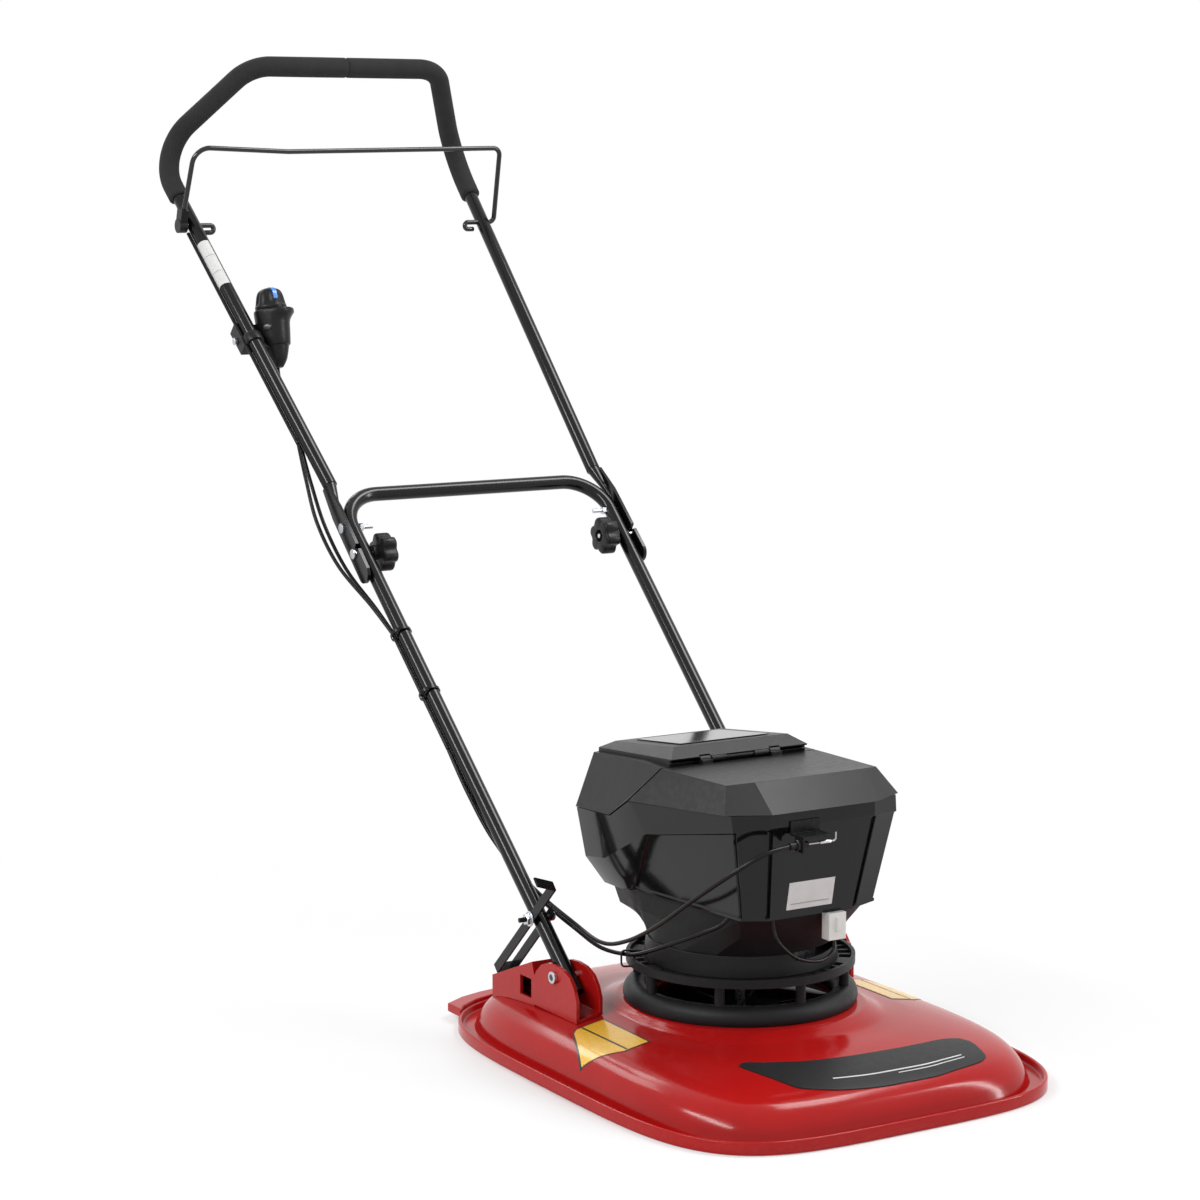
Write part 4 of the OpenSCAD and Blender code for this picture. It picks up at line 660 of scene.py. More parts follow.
def dress(thing: Piece, body: str, finish: Finish, slot: Slot, *nodes: str) -> Piece:
    """Gives a piece its finish, makes it ride on a body and stand for its CAD nodes.

    Args:
        thing: the piece.
        body: the body that it moves with.
        finish: its finish.
        slot: the record's slot of that finish; not used.
        nodes: the CAD nodes that it stands for.

    Returns:
        The same piece.
    """
    paint(thing, finish)
    if nodes:
        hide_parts(*nodes)
    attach(thing, body)
    LOG.info("piece %s rides on %s", thing.name, body)
    return thing


def moulded(node: str, name: str, edge: float, body: str, finish: Finish, slot: Slot,
            limit: float = 28.0) -> Piece:
    """Puts a copy of a CAD node, with rounded edges and a finish, in the node's place."""
    return dress(copy_of(node, name, edge, limit=limit), body, finish, slot, node)


def from_deck(places: Table) -> Array:
    """Points measured from the middle of the deck, moved into the part frame."""
    return np.asarray(places, float) + (0.0, DECK_Y, 0.0)


@dataclass(frozen=True)
class HandleFrame:
    """The handle's own frame: x across, s up the handle from its pivot, n square to it."""

    pivot_y: float = 103.0
    pivot_z: float = 99.0
    angle: float = 42.7
    pivot_half: float = 181.0
    cross_half: float = 198.0
    lower_len: float = 761.0
    upper_half: float = 238.0
    upper_len: float = 1416.0
    upper_start: float = 779.5
    upper_root: float = 201.471
    tube_d: float = 19.0
    pod_base: Triple = (-178.184, 1026.0, -34.0)
    pod_tilt: float = 34.0

    def axes(self) -> tuple[Array, Array, Array]:
        """Directions of x, s and n in the part frame."""
        a = np.radians(self.angle)
        return RIGHT, np.array([0.0, np.cos(a), np.sin(a)]), np.array([0.0, -np.sin(a), np.cos(a)])

    def at(self, places: Table) -> Array:
        """Places points of the handle's frame in the part frame: steps along its axes from the pivot.

        Args:
            places: points given as x, s and n, in millimetres.

        Returns:
            The same points in the part frame.
        """
        p = np.asarray(places, float)
        x, s, n = self.axes()
        foot = from_deck((0.0, self.pivot_y, self.pivot_z))
        return foot + p[..., :1] * x + p[..., 1:2] * s + p[..., 2:3] * n

    def lower_x(self, s: Array | float) -> Array | float:
        """Half the spacing of the lower tubes at places along them."""
        return self.pivot_half + (self.cross_half - self.pivot_half) * s / self.lower_len

    def upper_x(self, s: Array | float) -> Array | float:
        """Half the spacing of the upper tubes at places along them."""
        share = (s - self.upper_start) / (self.upper_len - self.upper_start)
        return self.upper_root + (self.upper_half - self.upper_root) * share


HANDLE = HandleFrame()


@dataclass(frozen=True)
class Lamp:
    """A soft lamp: its place in metres, its width and depth, and its power in watts."""

    name: str
    place: Triple
    size: Pair
    power: float


@dataclass
class Studio:
    """Floor, light and the photograph's camera."""

    eye: Triple = (-1952.5, -2879.5, 1050.4)
    aim: Triple = (0.0, 327.1, 504.8)
    lens: float = 90.8
    sensor: float = 36.0
    view_end: float = 100.0
    floor_wide: float = 40.0
    floor_drop: float = 0.5
    floor_grey: float = 0.86
    own_white: float = 0.66
    shade_move: Triple = (0.0, 1.18, 0.0)
    shade_scale: Triple = (3.75, 2.98, 0.0)
    shade_reach: Triple = (1.0, 1.3, 4.5)
    world_light: float = 0.3
    lamp_aim: Triple = (0.0, -0.2, 0.4)
    lamps: tuple[Lamp, ...] = (
        Lamp("key_lamp", (-2.6, -0.6, 2.3), (2.8, 0.34), 70.0),
        Lamp("fill_lamp", (2.8, -2.2, 1.7), (0.3, 2.6), 54.0),
        Lamp("back_lamp", (-0.6, 3.2, 3.0), (2.6, 1.0), 36.0),
        Lamp("top_lamp", (1.4, -0.5, 3.2), (1.2, 1.2), 52.0))

    def build(self) -> None:
        """Sets up the camera, the floor, the world and the lamps."""
        scene = bpy.context.scene
        scene.view_settings.view_transform = "Standard"
        lens = bpy.data.cameras.new("camera")
        lens.lens, lens.sensor_width, lens.sensor_fit = self.lens, self.sensor, "AUTO"
        lens.clip_end = self.view_end
        scene.camera = self._aimed("camera", lens, from_deck(self.eye) * MM, from_deck(self.aim) * MM)
        self._floor()
        self._world()
        for lamp in self.lamps:
            light = bpy.data.lights.new(lamp.name, "AREA")
            light.shape, light.energy = "RECTANGLE", lamp.power
            light.size, light.size_y = lamp.size
            self._aimed(lamp.name, light, np.array(lamp.place), np.array(self.lamp_aim))

    @staticmethod
    def _aimed(name: str, data: bpy.types.ID, place: Array, target: Array) -> Piece:
        """Puts a camera or a lamp at a place and turns it to a target.

        Args:
            name: its name.
            data: the camera's or lamp's settings.
            place: where it stands, in metres.
            target: the point that it faces.

        Returns:
            The linked object.
        """
        thing = bpy.data.objects.new(name, data)
        thing.location = place
        thing.rotation_euler = Vector(target - place).to_track_quat("-Z", "Y").to_euler()
        bpy.context.scene.collection.objects.link(thing)
        return thing

    def _floor(self) -> None:
        """A wide pale floor that keeps the shadow: part of what is seen of it is its own white."""
        r = self.floor_wide / MM / 2
        corners = np.array([[-r, -r, 0], [r, -r, 0], [r, r, 0], [-r, r, 0]]) - self.floor_drop * UP
        floor = put_mesh("floor", corners, [[0, 1, 2, 3]])
        material = bpy.data.materials.new("floor_white")
        sketch = NodeSketch(material)
        matt = sketch.add("BsdfDiffuse", {}, {"Color": (*grey(self.floor_grey), 1.0)})
        seen = sketch.add("Emission", {}, {"Color": WHITE, "Strength": 1.0})
        mix = sketch.add("MixShader", {}, {"Fac": self._share(sketch), 1: matt.outputs["BSDF"],
                                           2: seen.outputs["Emission"]})
        sketch.add("OutputMaterial", {}, {"Surface": mix.outputs["Shader"]})
        floor.data.materials.append(material)

    def _share(self, sketch: NodeSketch) -> Socket:
        """How much of the floor's look is its own white: none under the deck, most beside it and all far away.

        Args:
            sketch: the floor's nodes.

        Returns:
            The socket of the share.
        """
        place = sketch.add("TexCoord").outputs["Object"]
        moved = sketch.add("Mapping", {}, {"Vector": place, "Location": self.shade_move,
                                           "Scale": self.shade_scale})
        length = sketch.add("VectorMath", {"operation": "LENGTH"}, {0: moved.outputs["Vector"]})
        reach = length.outputs["Value"]
        under, beside, far = self.shade_reach
        near = sketch.spread(reach, under, beside, (0.0, self.own_white))
        rest = sketch.spread(reach, beside, far, (0.0, 1.0 - self.own_white))
        return sketch.math("MULTIPLY", sketch.math("ADD", near, rest), self._seen(sketch))

    @staticmethod
    def _seen(sketch: NodeSketch) -> Socket:
        """One where the eye, a mirror or glass sees the background, and nought for light on the object.

        Args:
            sketch: the nodes of the floor or the world.

        Returns:
            The socket of that number.
        """
        rays = sketch.add("LightPath").outputs
        seen = sketch.math("MAXIMUM", rays["Is Camera Ray"], rays["Is Glossy Ray"])
        return sketch.math("MAXIMUM", seen, rays["Is Transmission Ray"])

    def _world(self) -> None:
        """White behind the object and a plain soft light round it."""
        world = bpy.data.worlds.new("studio")
        bpy.context.scene.world = world
        sketch = NodeSketch(world)
        glow = sketch.spread(self._seen(sketch), 0.0, 1.0, (self.world_light, 1.0))
        back = sketch.add("Background", {}, {"Color": WHITE, "Strength": glow})
        sketch.add("OutputWorld", {}, {"Surface": back.outputs["Background"]})


@dataclass
class Cables:
    """The bail cable, the switch cable and the connector's lead, each in the stretches that move together."""

    diameter: float = 5.0
    facets: int = 18
    lead_d: float = 4.0
    lead_facets: int = 16
    end_edge: float = 0.3
    bail_side: Pair = (-11.316, -4.797)
    switch_side: Pair = (-4.797, -11.316)
    upper_end: float = 860.0
    tie_s: float = 528.0
    held_s: float = 345.0
    gap: float = 1.5
    bail_top: float = 1259.4
    pod_gap: float = 0.3
    pod_drop: float = 14.0
    pod_bend: float = 10.0
    drop_step: float = 6.0
    bridge_blend: tuple = ((-215.0, 640.0, 0.0), (-215.0, 790.0, 0.0))
    loop_blend: tuple = ((-150.0, 20.0, 150.0), (-165.0, 200.0, 176.0))
    bail_bridge: tuple = ((-223, 805, -14), (-227, 740, -26), (-224, 665, -26), (-212, 585, -12))
    switch_bridge: tuple = ((-213, 805, -22), (-213, 740, -34), (-210, 665, -34), (-202, 585, -20))
    bail_arc: tuple = ((-198, 311.3, 280.3), (-188, 263.5, 228.8), (-167, 204, 180), (-153, 137, 152),
                       (-155, 70, 143), (-158, 10, 158), (-155, -50, 188), (-146, -105, 226),
                       (-128, -152, 262), (-96, -175, 288), (-59, -175.408, 294))
    switch_arc: tuple = ((-191, 309.8, 270.1), (-181, 262.4, 218.2), (-161, 203, 169.3), (-147, 140, 142),
                         (-142, 92, 130), (-133.5, 51, 130), (-133, 15, 139), (-126, -35, 160),
                         (-113, -78, 180), (-100, -98, 192), (-92, -104, 202))
    lead: tuple = ((-50, -130.5, 199.2), (-46, -135, 176), (-24, -141, 154), (8, -141, 146), (30, -136, 153),
                   (33, -134, 167.4))

    @staticmethod
    def beside(half: Callable, s: Array | float, side: Pair) -> Array:
        """Points beside the near tube at places along it, in the handle's frame."""
        return points(-half(s) + side[0], s, side[1])

    def build(self) -> None:
        h = HANDLE
        top, foot, held = self.upper_end - self.gap, self.tie_s + self.gap, self.held_s - self.gap
        for name, side, bridge, arc in (("bail_cable", self.bail_side, self.bail_bridge, self.bail_arc),
                                        ("switch_cable", self.switch_side, self.switch_bridge,
                                         self.switch_arc)):
            route = [self.beside(h.upper_x, top, side), *bridge, self.beside(h.lower_x, foot, side)]
            self.free(f"{name}_bridge", h.at(cord_path(route)), "bridge_cables", ("handle", "upper"),
                      h.at(self.bridge_blend))
            tied = self.beside(h.lower_x, np.linspace(self.tie_s, self.held_s, 12), side)
            self.held(f"{name}_lower", h.at(tied), "handle", "lower_cables")
            start = h.at(self.beside(h.lower_x, held, side))
            self.free(f"{name}_loop", cord_path(np.vstack([start, from_deck(arc)])), f"{name}_arc",
                      ("base", "handle"), from_deck(self.loop_blend))
        tied = self.beside(h.upper_x, np.linspace(self.bail_top, self.upper_end, 16), self.bail_side)
        self.held("bail_cable_upper", h.at(tied), "upper", "upper_cables")
        tilt = np.radians(h.pod_tilt)
        base, axis = np.array(h.pod_base), np.array([0.0, np.cos(tilt), np.sin(tilt)])
        drop = bend_path([base - axis * self.pod_gap, base - axis * self.pod_drop,
                          self.beside(h.upper_x, self.upper_end, self.switch_side)], [0, self.pod_bend, 0])
        self.held("switch_cable_upper", h.at(even_path(drop, self.drop_step)), "upper", "upper_cables")
        lead = cord_path(from_deck(self.lead))
        thing = rod_skin("connector_lead_cord", lead, self.lead_d, self.lead_facets, self.end_edge)
        dress(thing, "base", SHEATH, Slot.CABLE, "connector_lead")
        shell = moulded("connector", "connector_moulding", 1.0, "base", WHITE_SHELL, Slot.WHITE)

    def held(self, name: str, path: Array, body: str, node: str) -> None:
        """Makes a stretch that is tied along a tube.

        Args:
            name: the piece's name.
            path: its centre line.
            body: the body that it moves with.
            node: the CAD node that it stands for.
        """
        thing = rod_skin(name, path, self.diameter, self.facets, self.end_edge)
        dress(thing, body, SHEATH, Slot.CABLE, node)

    def free(self, name: str, path: Array, node: str, bodies: tuple[str, str], span: Array) -> None:
        """Makes a free stretch that runs between two bodies, baked into the part frame without riding on either.

        Args:
            name: the piece's name.
            path: its centre line.
            node: the CAD node that it stands for.
            bodies: the two bodies.
            span: the points where it leaves the first body and joins the second; not used.
        """
        thing = rod_skin(name, path, self.diameter, self.facets, self.end_edge)
        paint(thing, SHEATH)
        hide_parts(node)
        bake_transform(thing)
        LOG.info("piece %s bends between %s and %s", name, *bodies)


@dataclass
class Deck:
    """The hover deck: a closed moulding with an upturned rim, a gutter and a dome round the intake."""

    half_w: float = 267.0
    half_l: float = 336.0
    height: float = 72.0
    wall: float = 4.0
    rim_h: float = 15.0
    rim_t: float = 4.0
    gutter_z: float = 6.0
    foot_in: float = 17.0
    intake_r: float = 112.0
    motor_y: float = 8.0
    rim_power: float = 4.27
    round_power: float = 2.0
    facets: int = 320
    halvings: int = 26
    # Inset and height of the rim's foot, of the cove from the rim into the gutter, and of the intake's edge
    rim_foot: tuple = ((1.2, 0.0), (0.3, 0.3), (0.0, 1.2))
    cove: tuple = ((0.0, 2.4), (0.4, 0.9), (1.4, 0.2), (3.0, 0.0), (11.0, 0.0))
    mouth: tuple = ((112.0, 71.9), (111.6, 71.2), (111.6, 68.6))
    # Share of the way in against share of the dome's height, and the spans of rows over the dome
    dome: tuple = ((0, 0), (0.03, 0.24), (0.07, 0.42), (0.12, 0.54), (0.2, 0.63), (0.34, 0.71), (0.54, 0.79),
                   (0.72, 0.85), (0.79, 0.93), (0.84, 0.985), (1, 1))
    dome_rows: tuple = ((0, 0.14, 22), (0.15, 0.66, 26), (0.67, 0.9, 30), (0.91, 0.995, 6))
    badge_x: tuple = (-0.5, -0.47, -0.4, -0.2, 0, 0.2, 0.35, 0.48, 0.55, 0.58)
    badge_back: tuple = (-0.56, -0.55, -0.58, -0.64, -0.66, -0.665, -0.66, -0.65, -0.66, -0.69)
    badge_front: tuple = (-0.58, -0.66, -0.8, -0.86, -0.875, -0.875, -0.86, -0.84, -0.81, -0.72)
    badge_lift: Pair = (1.4, 0.25)
    line_lift: Pair = (1.65, 1.3)
    badge_lines: tuple = (("badge_line_long", 0.30, 0.33, -60.0, 118.0),
                          ("badge_line_short", 0.22, 0.24, 20.0, 118.0))
    decal_y: Pair = (-61.0, 39.5)
    decal_inner: Pair = (172.5, 171.0)
    decal_outer: tuple = ((-61.5, 203.6), (-47.0, 225.0), (-40.0, 234.5), (-30.0, 242.0), (33.0, 214.0),
                          (40.0, 206.5))
    decal_layers: tuple = (("edge", 2.4, 0.35, PRINT_AND_SHADE_BLACK), ("face", 0.0, 0.5, DECAL_YELLOW))
    decal_under: float = 0.1
    stripe_x: float = 200.0
    stripe_half: float = 1.2
    stripe_short: float = 1.0
    stripe_lift: Pair = (0.65, 0.4)
    bolt_x: float = 203.3
    # Profiles of the raised edge on a bolt head and of the black disc in its socket, which is painted shade
    bolt_edge: tuple = ((4.1, -0.4), (4.1, 0.5), (4.5, 0.8), (6.4, 0.7), (7.2, 0.3), (7.4, -0.4))
    bolt_socket: tuple = ((0.3, 0.12), (3.9, 0.12), (4.2, 0.02), (4.2, -0.3), (0.3, -0.3))

    @staticmethod
    def radius(t: Array, a: Array, b: Array, power: Array) -> Array:
        """Radius at an angle of a superellipse with half axes a and b."""
        return ((np.abs(np.cos(t)) / a) ** power + (np.abs(np.sin(t)) / b) ** power) ** (-1 / power)

    def outline(self, w: Array) -> tuple[Array, Array, Array]:
        """The dome's outline at a share of the way in, between the gutter's and the round intake's.

        Args:
            w: shares of the way in from the gutter to the intake.

        Returns:
            Both half axes and the power of the superellipse.
        """
        foot_a, foot_b = self.half_w - self.foot_in, self.half_l - self.foot_in
        return (foot_a + (self.intake_r - foot_a) * w, foot_b + (self.intake_r - foot_b) * w,
                self.rim_power + (self.round_power - self.rim_power) * w)

    def rise(self, w: Array) -> Array:
        """Height of the dome at shares of the way in."""
        return self.gutter_z + (self.height - self.gutter_z) * smooth_curve(w, self.dome)

    def ring(self, a: Array, b: Array, power: Array | float, y: Array | float, z: Array) -> Array:
        """Rings of points: a superellipse at each height.

        Args:
            a: half axes across.
            b: half axes along.
            power: the superellipses' powers.
            y: how far back their middles are.
            z: their heights.

        Returns:
            Rings by points by three.
        """
        t = circle(self.facets)[None]
        a, b, power, y, z = (v[:, None] for v in np.broadcast_arrays(a, b, power, y, z))
        r = self.radius(t, a, b, power)
        return from_deck(points(r * np.cos(t), y + r * np.sin(t), z))

    def dome_rings(self, w: Array, inward: float, drop: float) -> Array:
        """Rings of the dome.

        Args:
            w: shares of the way in from the gutter to the intake.
            inward: how far inside the outer face they are.
            drop: how far below it they are, down to the ground.

        Returns:
            Rings by points by three.
        """
        a, b, power = self.outline(w)
        return self.ring(a - inward, b - inward, power, self.motor_y * w, np.maximum(self.rise(w) - drop, 0.0))

    def top(self, x: Array, y: Array) -> Array:
        """Height of the dome over places on the deck, with the share of the way in found by halving.

        Args:
            x: places across the deck.
            y: places along it.

        Returns:
            The heights.
        """
        low, high = np.zeros(np.shape(x)), np.ones(np.shape(x))
        for _ in range(self.halvings):
            w = (low + high) / 2
            back = y - self.motor_y * w
            outside = np.hypot(x, back) > self.radius(np.arctan2(back, x), *self.outline(w))
            low, high = np.where(outside, low, w), np.where(outside, w, high)
        return self.rise((low + high) / 2)

    def build(self) -> None:
        """Builds the moulding, the skirt, the brackets, the bolts with their faces, the badge and the decals."""
        self._moulding()
        moulded("rear_skirt", "skirt_moulding", 2.0, "base", RED_GLOSS, Slot.RED)
        for node in ("pivot_bracket_near", "pivot_bracket_far"):
            moulded(node, f"{node}_moulding", 1.3, "base", RED_GLOSS, Slot.RED)
        moulded("pivot_bolts", "pivot_bolt_set", 0.6, "base", ZINC_BRIGHT, Slot.ZINC)
        self._badge()
        for side, name in ((-1.0, "near"), (1.0, "far")):
            self._decal(side, f"decal_{name}")
            self._bolt_face(side, name)

    def _bolt_face(self, side: float, name: str) -> None:
        """The raised edge and the dark six-sided socket on the head of a pivot bolt: the socket is a black disc,
        painted shade for its depth.

        Args:
            side: -1 for the near side, 1 for the far side.
            name: the side's name.
        """
        foot = from_deck((side * self.bolt_x, HANDLE.pivot_y, HANDLE.pivot_z))
        axes = (BACK, UP, side * RIGHT)
        edge = turned(f"pivot_bolt_edge_{name}", self.bolt_edge, foot, axes, sides=36, loop=True)
        dress(edge, "base", ZINC_BRIGHT, Slot.ZINC)
        # A black disc in the socket: painted shade for the socket's depth
        socket = turned(f"pivot_bolt_socket_shade_{name}", self.bolt_socket, foot, axes, sides=6)
        dress(socket, "base", PRINT_AND_SHADE_BLACK, Slot.GLOSS)

    def _moulding(self) -> None:
        """One closed skin: rim wall, rounded rim, gutter, dome, intake edge and the underside."""
        crown, turn = self.rim_t / 2, np.linspace(0, np.pi, 9)
        arch = np.column_stack([crown - crown * np.cos(turn), self.rim_h - crown + crown * np.sin(turn)])
        inset, z = np.vstack([self.rim_foot, arch, np.add(self.cove, (self.rim_t, self.gutter_z))]).T
        rim = self.ring(self.half_w - inset, self.half_l - inset, self.rim_power, 0.0, z)
        w = np.concatenate([np.linspace(*row) for row in self.dome_rows])
        over = self.dome_rings(w, 0.0, 0.0)
        r, z = np.array(self.mouth).T
        edge = self.ring(r, r, self.round_power, self.motor_y, z)
        under = self.dome_rings(w[::-3], self.wall, self.wall)
        foot = self.dome_rings(np.zeros(1), self.wall, self.gutter_z)
        rings = np.vstack([rim, over, edge, under, foot])
        dress(skin("deck_moulding", rings, loop=True, angle=50.0), "base", RED_GLOSS, Slot.RED, "deck")

    def _sheet(self, name: str, x: Array, y: Array, lifts: Pair, finish: Finish, slot: Slot,
               *nodes: str) -> None:
        """Lays a thin sheet on the dome.

        Args:
            name: the piece's name.
            x: places across the deck, on a grid.
            y: places along it, on the same grid or one that spreads to it.
            lifts: heights of its upper and lower face above the dome.
            finish: its finish.
            slot: the record's slot of that finish.
            nodes: the CAD nodes that it stands for.
        """
        x, y = np.broadcast_arrays(x, y)
        z = self.top(x, y)
        top, under = (from_deck(points(x, y, z + lift)) for lift in lifts)
        dress(slab(name, top, under), "base", finish, slot, *nodes)

    def _badge(self) -> None:
        """A plain black plate that follows the dome between two smooth edges, with two thin pale lines."""
        x = np.array(self.badge_x) * self.half_w
        edges = [np.column_stack([x, np.array(y) * self.half_l]) for y in (self.badge_front, self.badge_back)]

        def across(u: Array, low: float, high: float, rows: int) -> Array:
            """Rows of places between two shares of the way from the badge's front edge to its back edge."""
            front, back = (smooth_curve(u, edge) for edge in edges)
            return front + (back - front) * np.linspace(low, high, rows)[:, None]

        u = x[0] + (x[-1] - x[0]) * (1 - np.cos(np.linspace(0, np.pi, 90))) / 2
        y = across(u, 0, 1, 22)
        self._sheet("badge_plate", u, y, self.badge_lift, BADGE_BLACK, Slot.GLOSS, "front_badge")
        for name, low, high, start, stop in self.badge_lines:
            u = np.linspace(start, stop, 60)
            self._sheet(name, u, across(u, low, high, 3), self.line_lift, LABEL_WHITE, Slot.WHITE)

    def _decal(self, side: float, name: str) -> None:
        """A bare yellow patch with a dark edge and one dark line across it, on the shoulder beside the intake.

        Args:
            side: -1 for the near side, 1 for the far side.
            name: the decal's name.
        """
        low, high = self.decal_y
        for part, grow, lift, finish in self.decal_layers:
            y = np.linspace(low - grow, high + grow, 60)
            inner = np.interp(y, self.decal_y, self.decal_inner) - grow
            outer = np.interp(y, *np.array(self.decal_outer).T) + grow
            x = side * (inner + (outer - inner) * np.linspace(0, 1, 26)[:, None])
            self._sheet(f"{name}_{part}", x, y, (lift, self.decal_under), finish, Slot.GLOSS)
        y = np.linspace(low + self.stripe_short, high - self.stripe_short, 50)
        x = side * (self.stripe_x + np.linspace(-self.stripe_half, self.stripe_half, 3)[:, None])
        self._sheet(f"{name}_line", x, y, self.stripe_lift, PRINT_AND_SHADE_BLACK, Slot.GLOSS)


@dataclass
class Intake:
    """The rounded intake lip, the posts, the slotted ring with its cable tie and the motor base."""

    motor_y: float = 8.0
    lip_r: float = 124.0
    lip_half: float = 15.0
    lip_z: float = 78.0
    lip_foot: float = 72.3
    tie_r: float = 137.25
    tie_z: float = 124.75
    tie_half: Pair = (7.7, 9.7)
    tie_wide: float = 2.2
    tie_angle: float = 162.0
    tie_soft: float = 0.6
    tie_power: float = 4.0

    def build(self) -> None:
        """Builds the lip as a cut ring of round section, and dresses the rest."""
        low = np.arcsin((self.lip_foot - self.lip_z) / self.lip_half)
        turn = np.linspace(low, np.pi - low, 40)[:, None]
        r = self.lip_r + self.lip_half * np.cos(turn)
        t = circle(160)
        grid = points(r * np.cos(t), self.motor_y + r * np.sin(t), self.lip_z + self.lip_half * np.sin(turn))
        lip = skin("lip_moulding", from_deck(grid), loop=True, angle=50.0)
        dress(lip, "base", GRAINED_BLACK, Slot.GLOSS, "intake_lip")
        for node, name, edge, slot in (("ring_posts", "post_set", 0.5, Slot.GLOSS),
                                       ("vent_ring", "vent_ring_moulding", 0.8, Slot.SATIN),
                                       ("motor_base", "motor_base_moulding", 1.2, Slot.SATIN)):
            moulded(node, name, edge, "base", GRAINED_BLACK, slot)
        self._tie()

    def _tie(self) -> None:
        """The cable tie on the ring: a flat band of rounded section carried round a rounded square."""
        turn, part = circle(72)[None], circle(12)[:, None]
        thick, wide = (np.sign(f(part)) * np.abs(f(part)) ** self.tie_soft for f in (np.cos, np.sin))
        square = sum(np.abs(f(turn)) ** self.tie_power for f in (np.cos, np.sin)) ** (-1 / self.tie_power)
        out = self.tie_r + (self.tie_half[0] + thick) * square * np.cos(turn)
        up = self.tie_z + (self.tie_half[1] + thick) * square * np.sin(turn)
        aside = self.tie_wide * wide
        a = np.radians(self.tie_angle)
        grid = points(out * np.cos(a) - aside * np.sin(a),
                      self.motor_y + out * np.sin(a) + aside * np.cos(a), up)
        tie = skin("ring_tie_strap", from_deck(grid), loop=True, angle=50.0)
        dress(tie, "base", SHEATH, Slot.SATIN, "ring_tie")


@dataclass
class Housing:
    """The faceted motor and battery housing with its lid, panel, label and front fittings."""

    half_w: float = 126.0
    length: float = 362.0
    height: float = 175.0
    foot_z: float = 200.0
    wall: float = 6.0
    inner_floor: float = 205.975
    groove: float = 4.0
    inset: float = 2.0
    edge: float = 0.7
    edge_limit: float = 14.0
    sharp: float = 11.0
    top: tuple = ((0.57, -0.434, 0.731), (0.905, -0.387, 0.731), (1, 0.16, 0.629), (1, 0.271, 0.491),
                  (0.937, 0.517, 0.451), (0.635, 0.572, 0.446))
    mid: tuple = ((0.57, -0.434, 0.64), (0.897, -0.395, 0.629), (1, 0.052, 0.451), (0.984, 0.309, 0.183),
                  (0.92, 0.47, 0.126), (0.62, 0.525, 0.114))
    low: tuple = ((0.476, -0.373, 0), (0.738, -0.356, 0.017), (0.865, 0.21, 0.006), (0.857, 0.276, -0.029),
                  (0.794, 0.42, -0.05), (0.54, 0.464, -0.057))
    # Share of the way up and share of the relief's depth of the rings between floor and cover
    relief: tuple = ((0, 0), (0.025, 0), (0.05, 1), (0.5, 1), (0.975, 1), (0.99, 0), (1, 0))
    relief_row: int = 4
    fold_share: float = 0.6
    ferrule: tuple = ((-18.0, -175.408, 294.0), (-3.0, -175.408, 294.0))
    ferrule_d: float = 4.4
    # Where the front face stands at its foot, and how far it leans over a height
    front_y: float = -135.0
    front_lean: float = 22.1
    front_rise: float = 111.0
    label_under: float = 0.2
    labels: tuple = (("casing_label", (-36.0, 27.0), (210.0, 243.0), 0.35, LABEL_WHITE),
                     ("casing_label_line", (-31.0, 22.0), (216.0, 217.2), 0.55, LABEL_GREY))

    def build(self) -> None:
        """Dresses the mouldings and the fittings on the housing's front."""
        for node, body, edge, limit, finish, slot in (
                ("casing_tray", "base", 1.5, 28.0, GRAINED_BLACK, Slot.SATIN),
                ("front_cover", "base", 1.6, 17.0, SATIN_BLACK, Slot.SATIN),
                ("battery_lid", "lid", 1.6, 17.0, SATIN_BLACK, Slot.SATIN),
                ("lid_panel", "lid", 0.8, 28.0, PANEL_GLOSS, Slot.GLOSS),
                ("cable_bracket", "base", 0.5, 28.0, STRUT_PAINT, Slot.SATIN),
                ("barrel_adjuster", "base", 0.4, 28.0, KNOB_BLACK, Slot.SATIN)):
            moulded(node, f"{node}_moulding", edge, body, finish, slot, limit)
        self._lower_casing()
        moulded("pull_wire", "pull_wire_rod", 0.0, "pull_wire", STEEL_WIRE, Slot.STEEL, limit=40.0)
        line = even_path(from_deck(self.ferrule), step=4.0)
        ferrule = rod_skin("pull_wire_ferrule", line, self.ferrule_d, sides=18, edge=0.6)
        dress(ferrule, "pull_wire", ZINC_BRIGHT, Slot.STEEL)
        self._label()

    def ring(self, shares: Table, grow: float = 0.0) -> Array:
        """Corners of a closed ring: the far half from front to back, then the near half from back to front.

        Args:
            shares: x, y and z of the far corners as shares of the housing's sizes.
            grow: how far they move outwards.

        Returns:
            The corners.
        """
        s = np.asarray(shares, float)
        half = np.column_stack([s[:, 0] * self.half_w + grow, s[:, 1] * self.length + np.sign(s[:, 1]) * grow,
                                self.foot_z + s[:, 2] * self.height])
        return np.vstack([half, half[::-1] * (-1.0, 1.0, 1.0)])

    def columns(self) -> tuple[Array, Array, Array]:
        """Lays out the columns of the casing's grid, edge by edge.

        Returns:
            Edge number, share along the edge and depth of relief of every column round the casing.
        """
        g, p = self.groove, self.inset
        corner = [(0.0, g), (0.06, g), (0.085, 0.0), (0.5, 0.0), (0.915, 0.0), (0.94, g)]
        side = [(0.0, g), (0.014, g), (0.02, p), (0.5, p), (0.955, p), (0.968, 0.0)]
        back = [(0.0, 0.0), (0.032, 0.0), (0.045, p), (0.5, p), (0.98, p), (0.986, g)]
        front = [(0.0, g), (0.018, g), (0.026, 0.0), (0.5, 0.0), (0.974, 0.0), (0.982, g)]
        plain = [(0.0, 0.0)]
        edges = [corner, side, *[plain] * 7, back, corner, front]
        rows = np.array([(k, f, d) for k, edge in enumerate(edges) for f, d in edge])
        return rows[:, 0].astype(int), rows[:, 1], rows[:, 2]

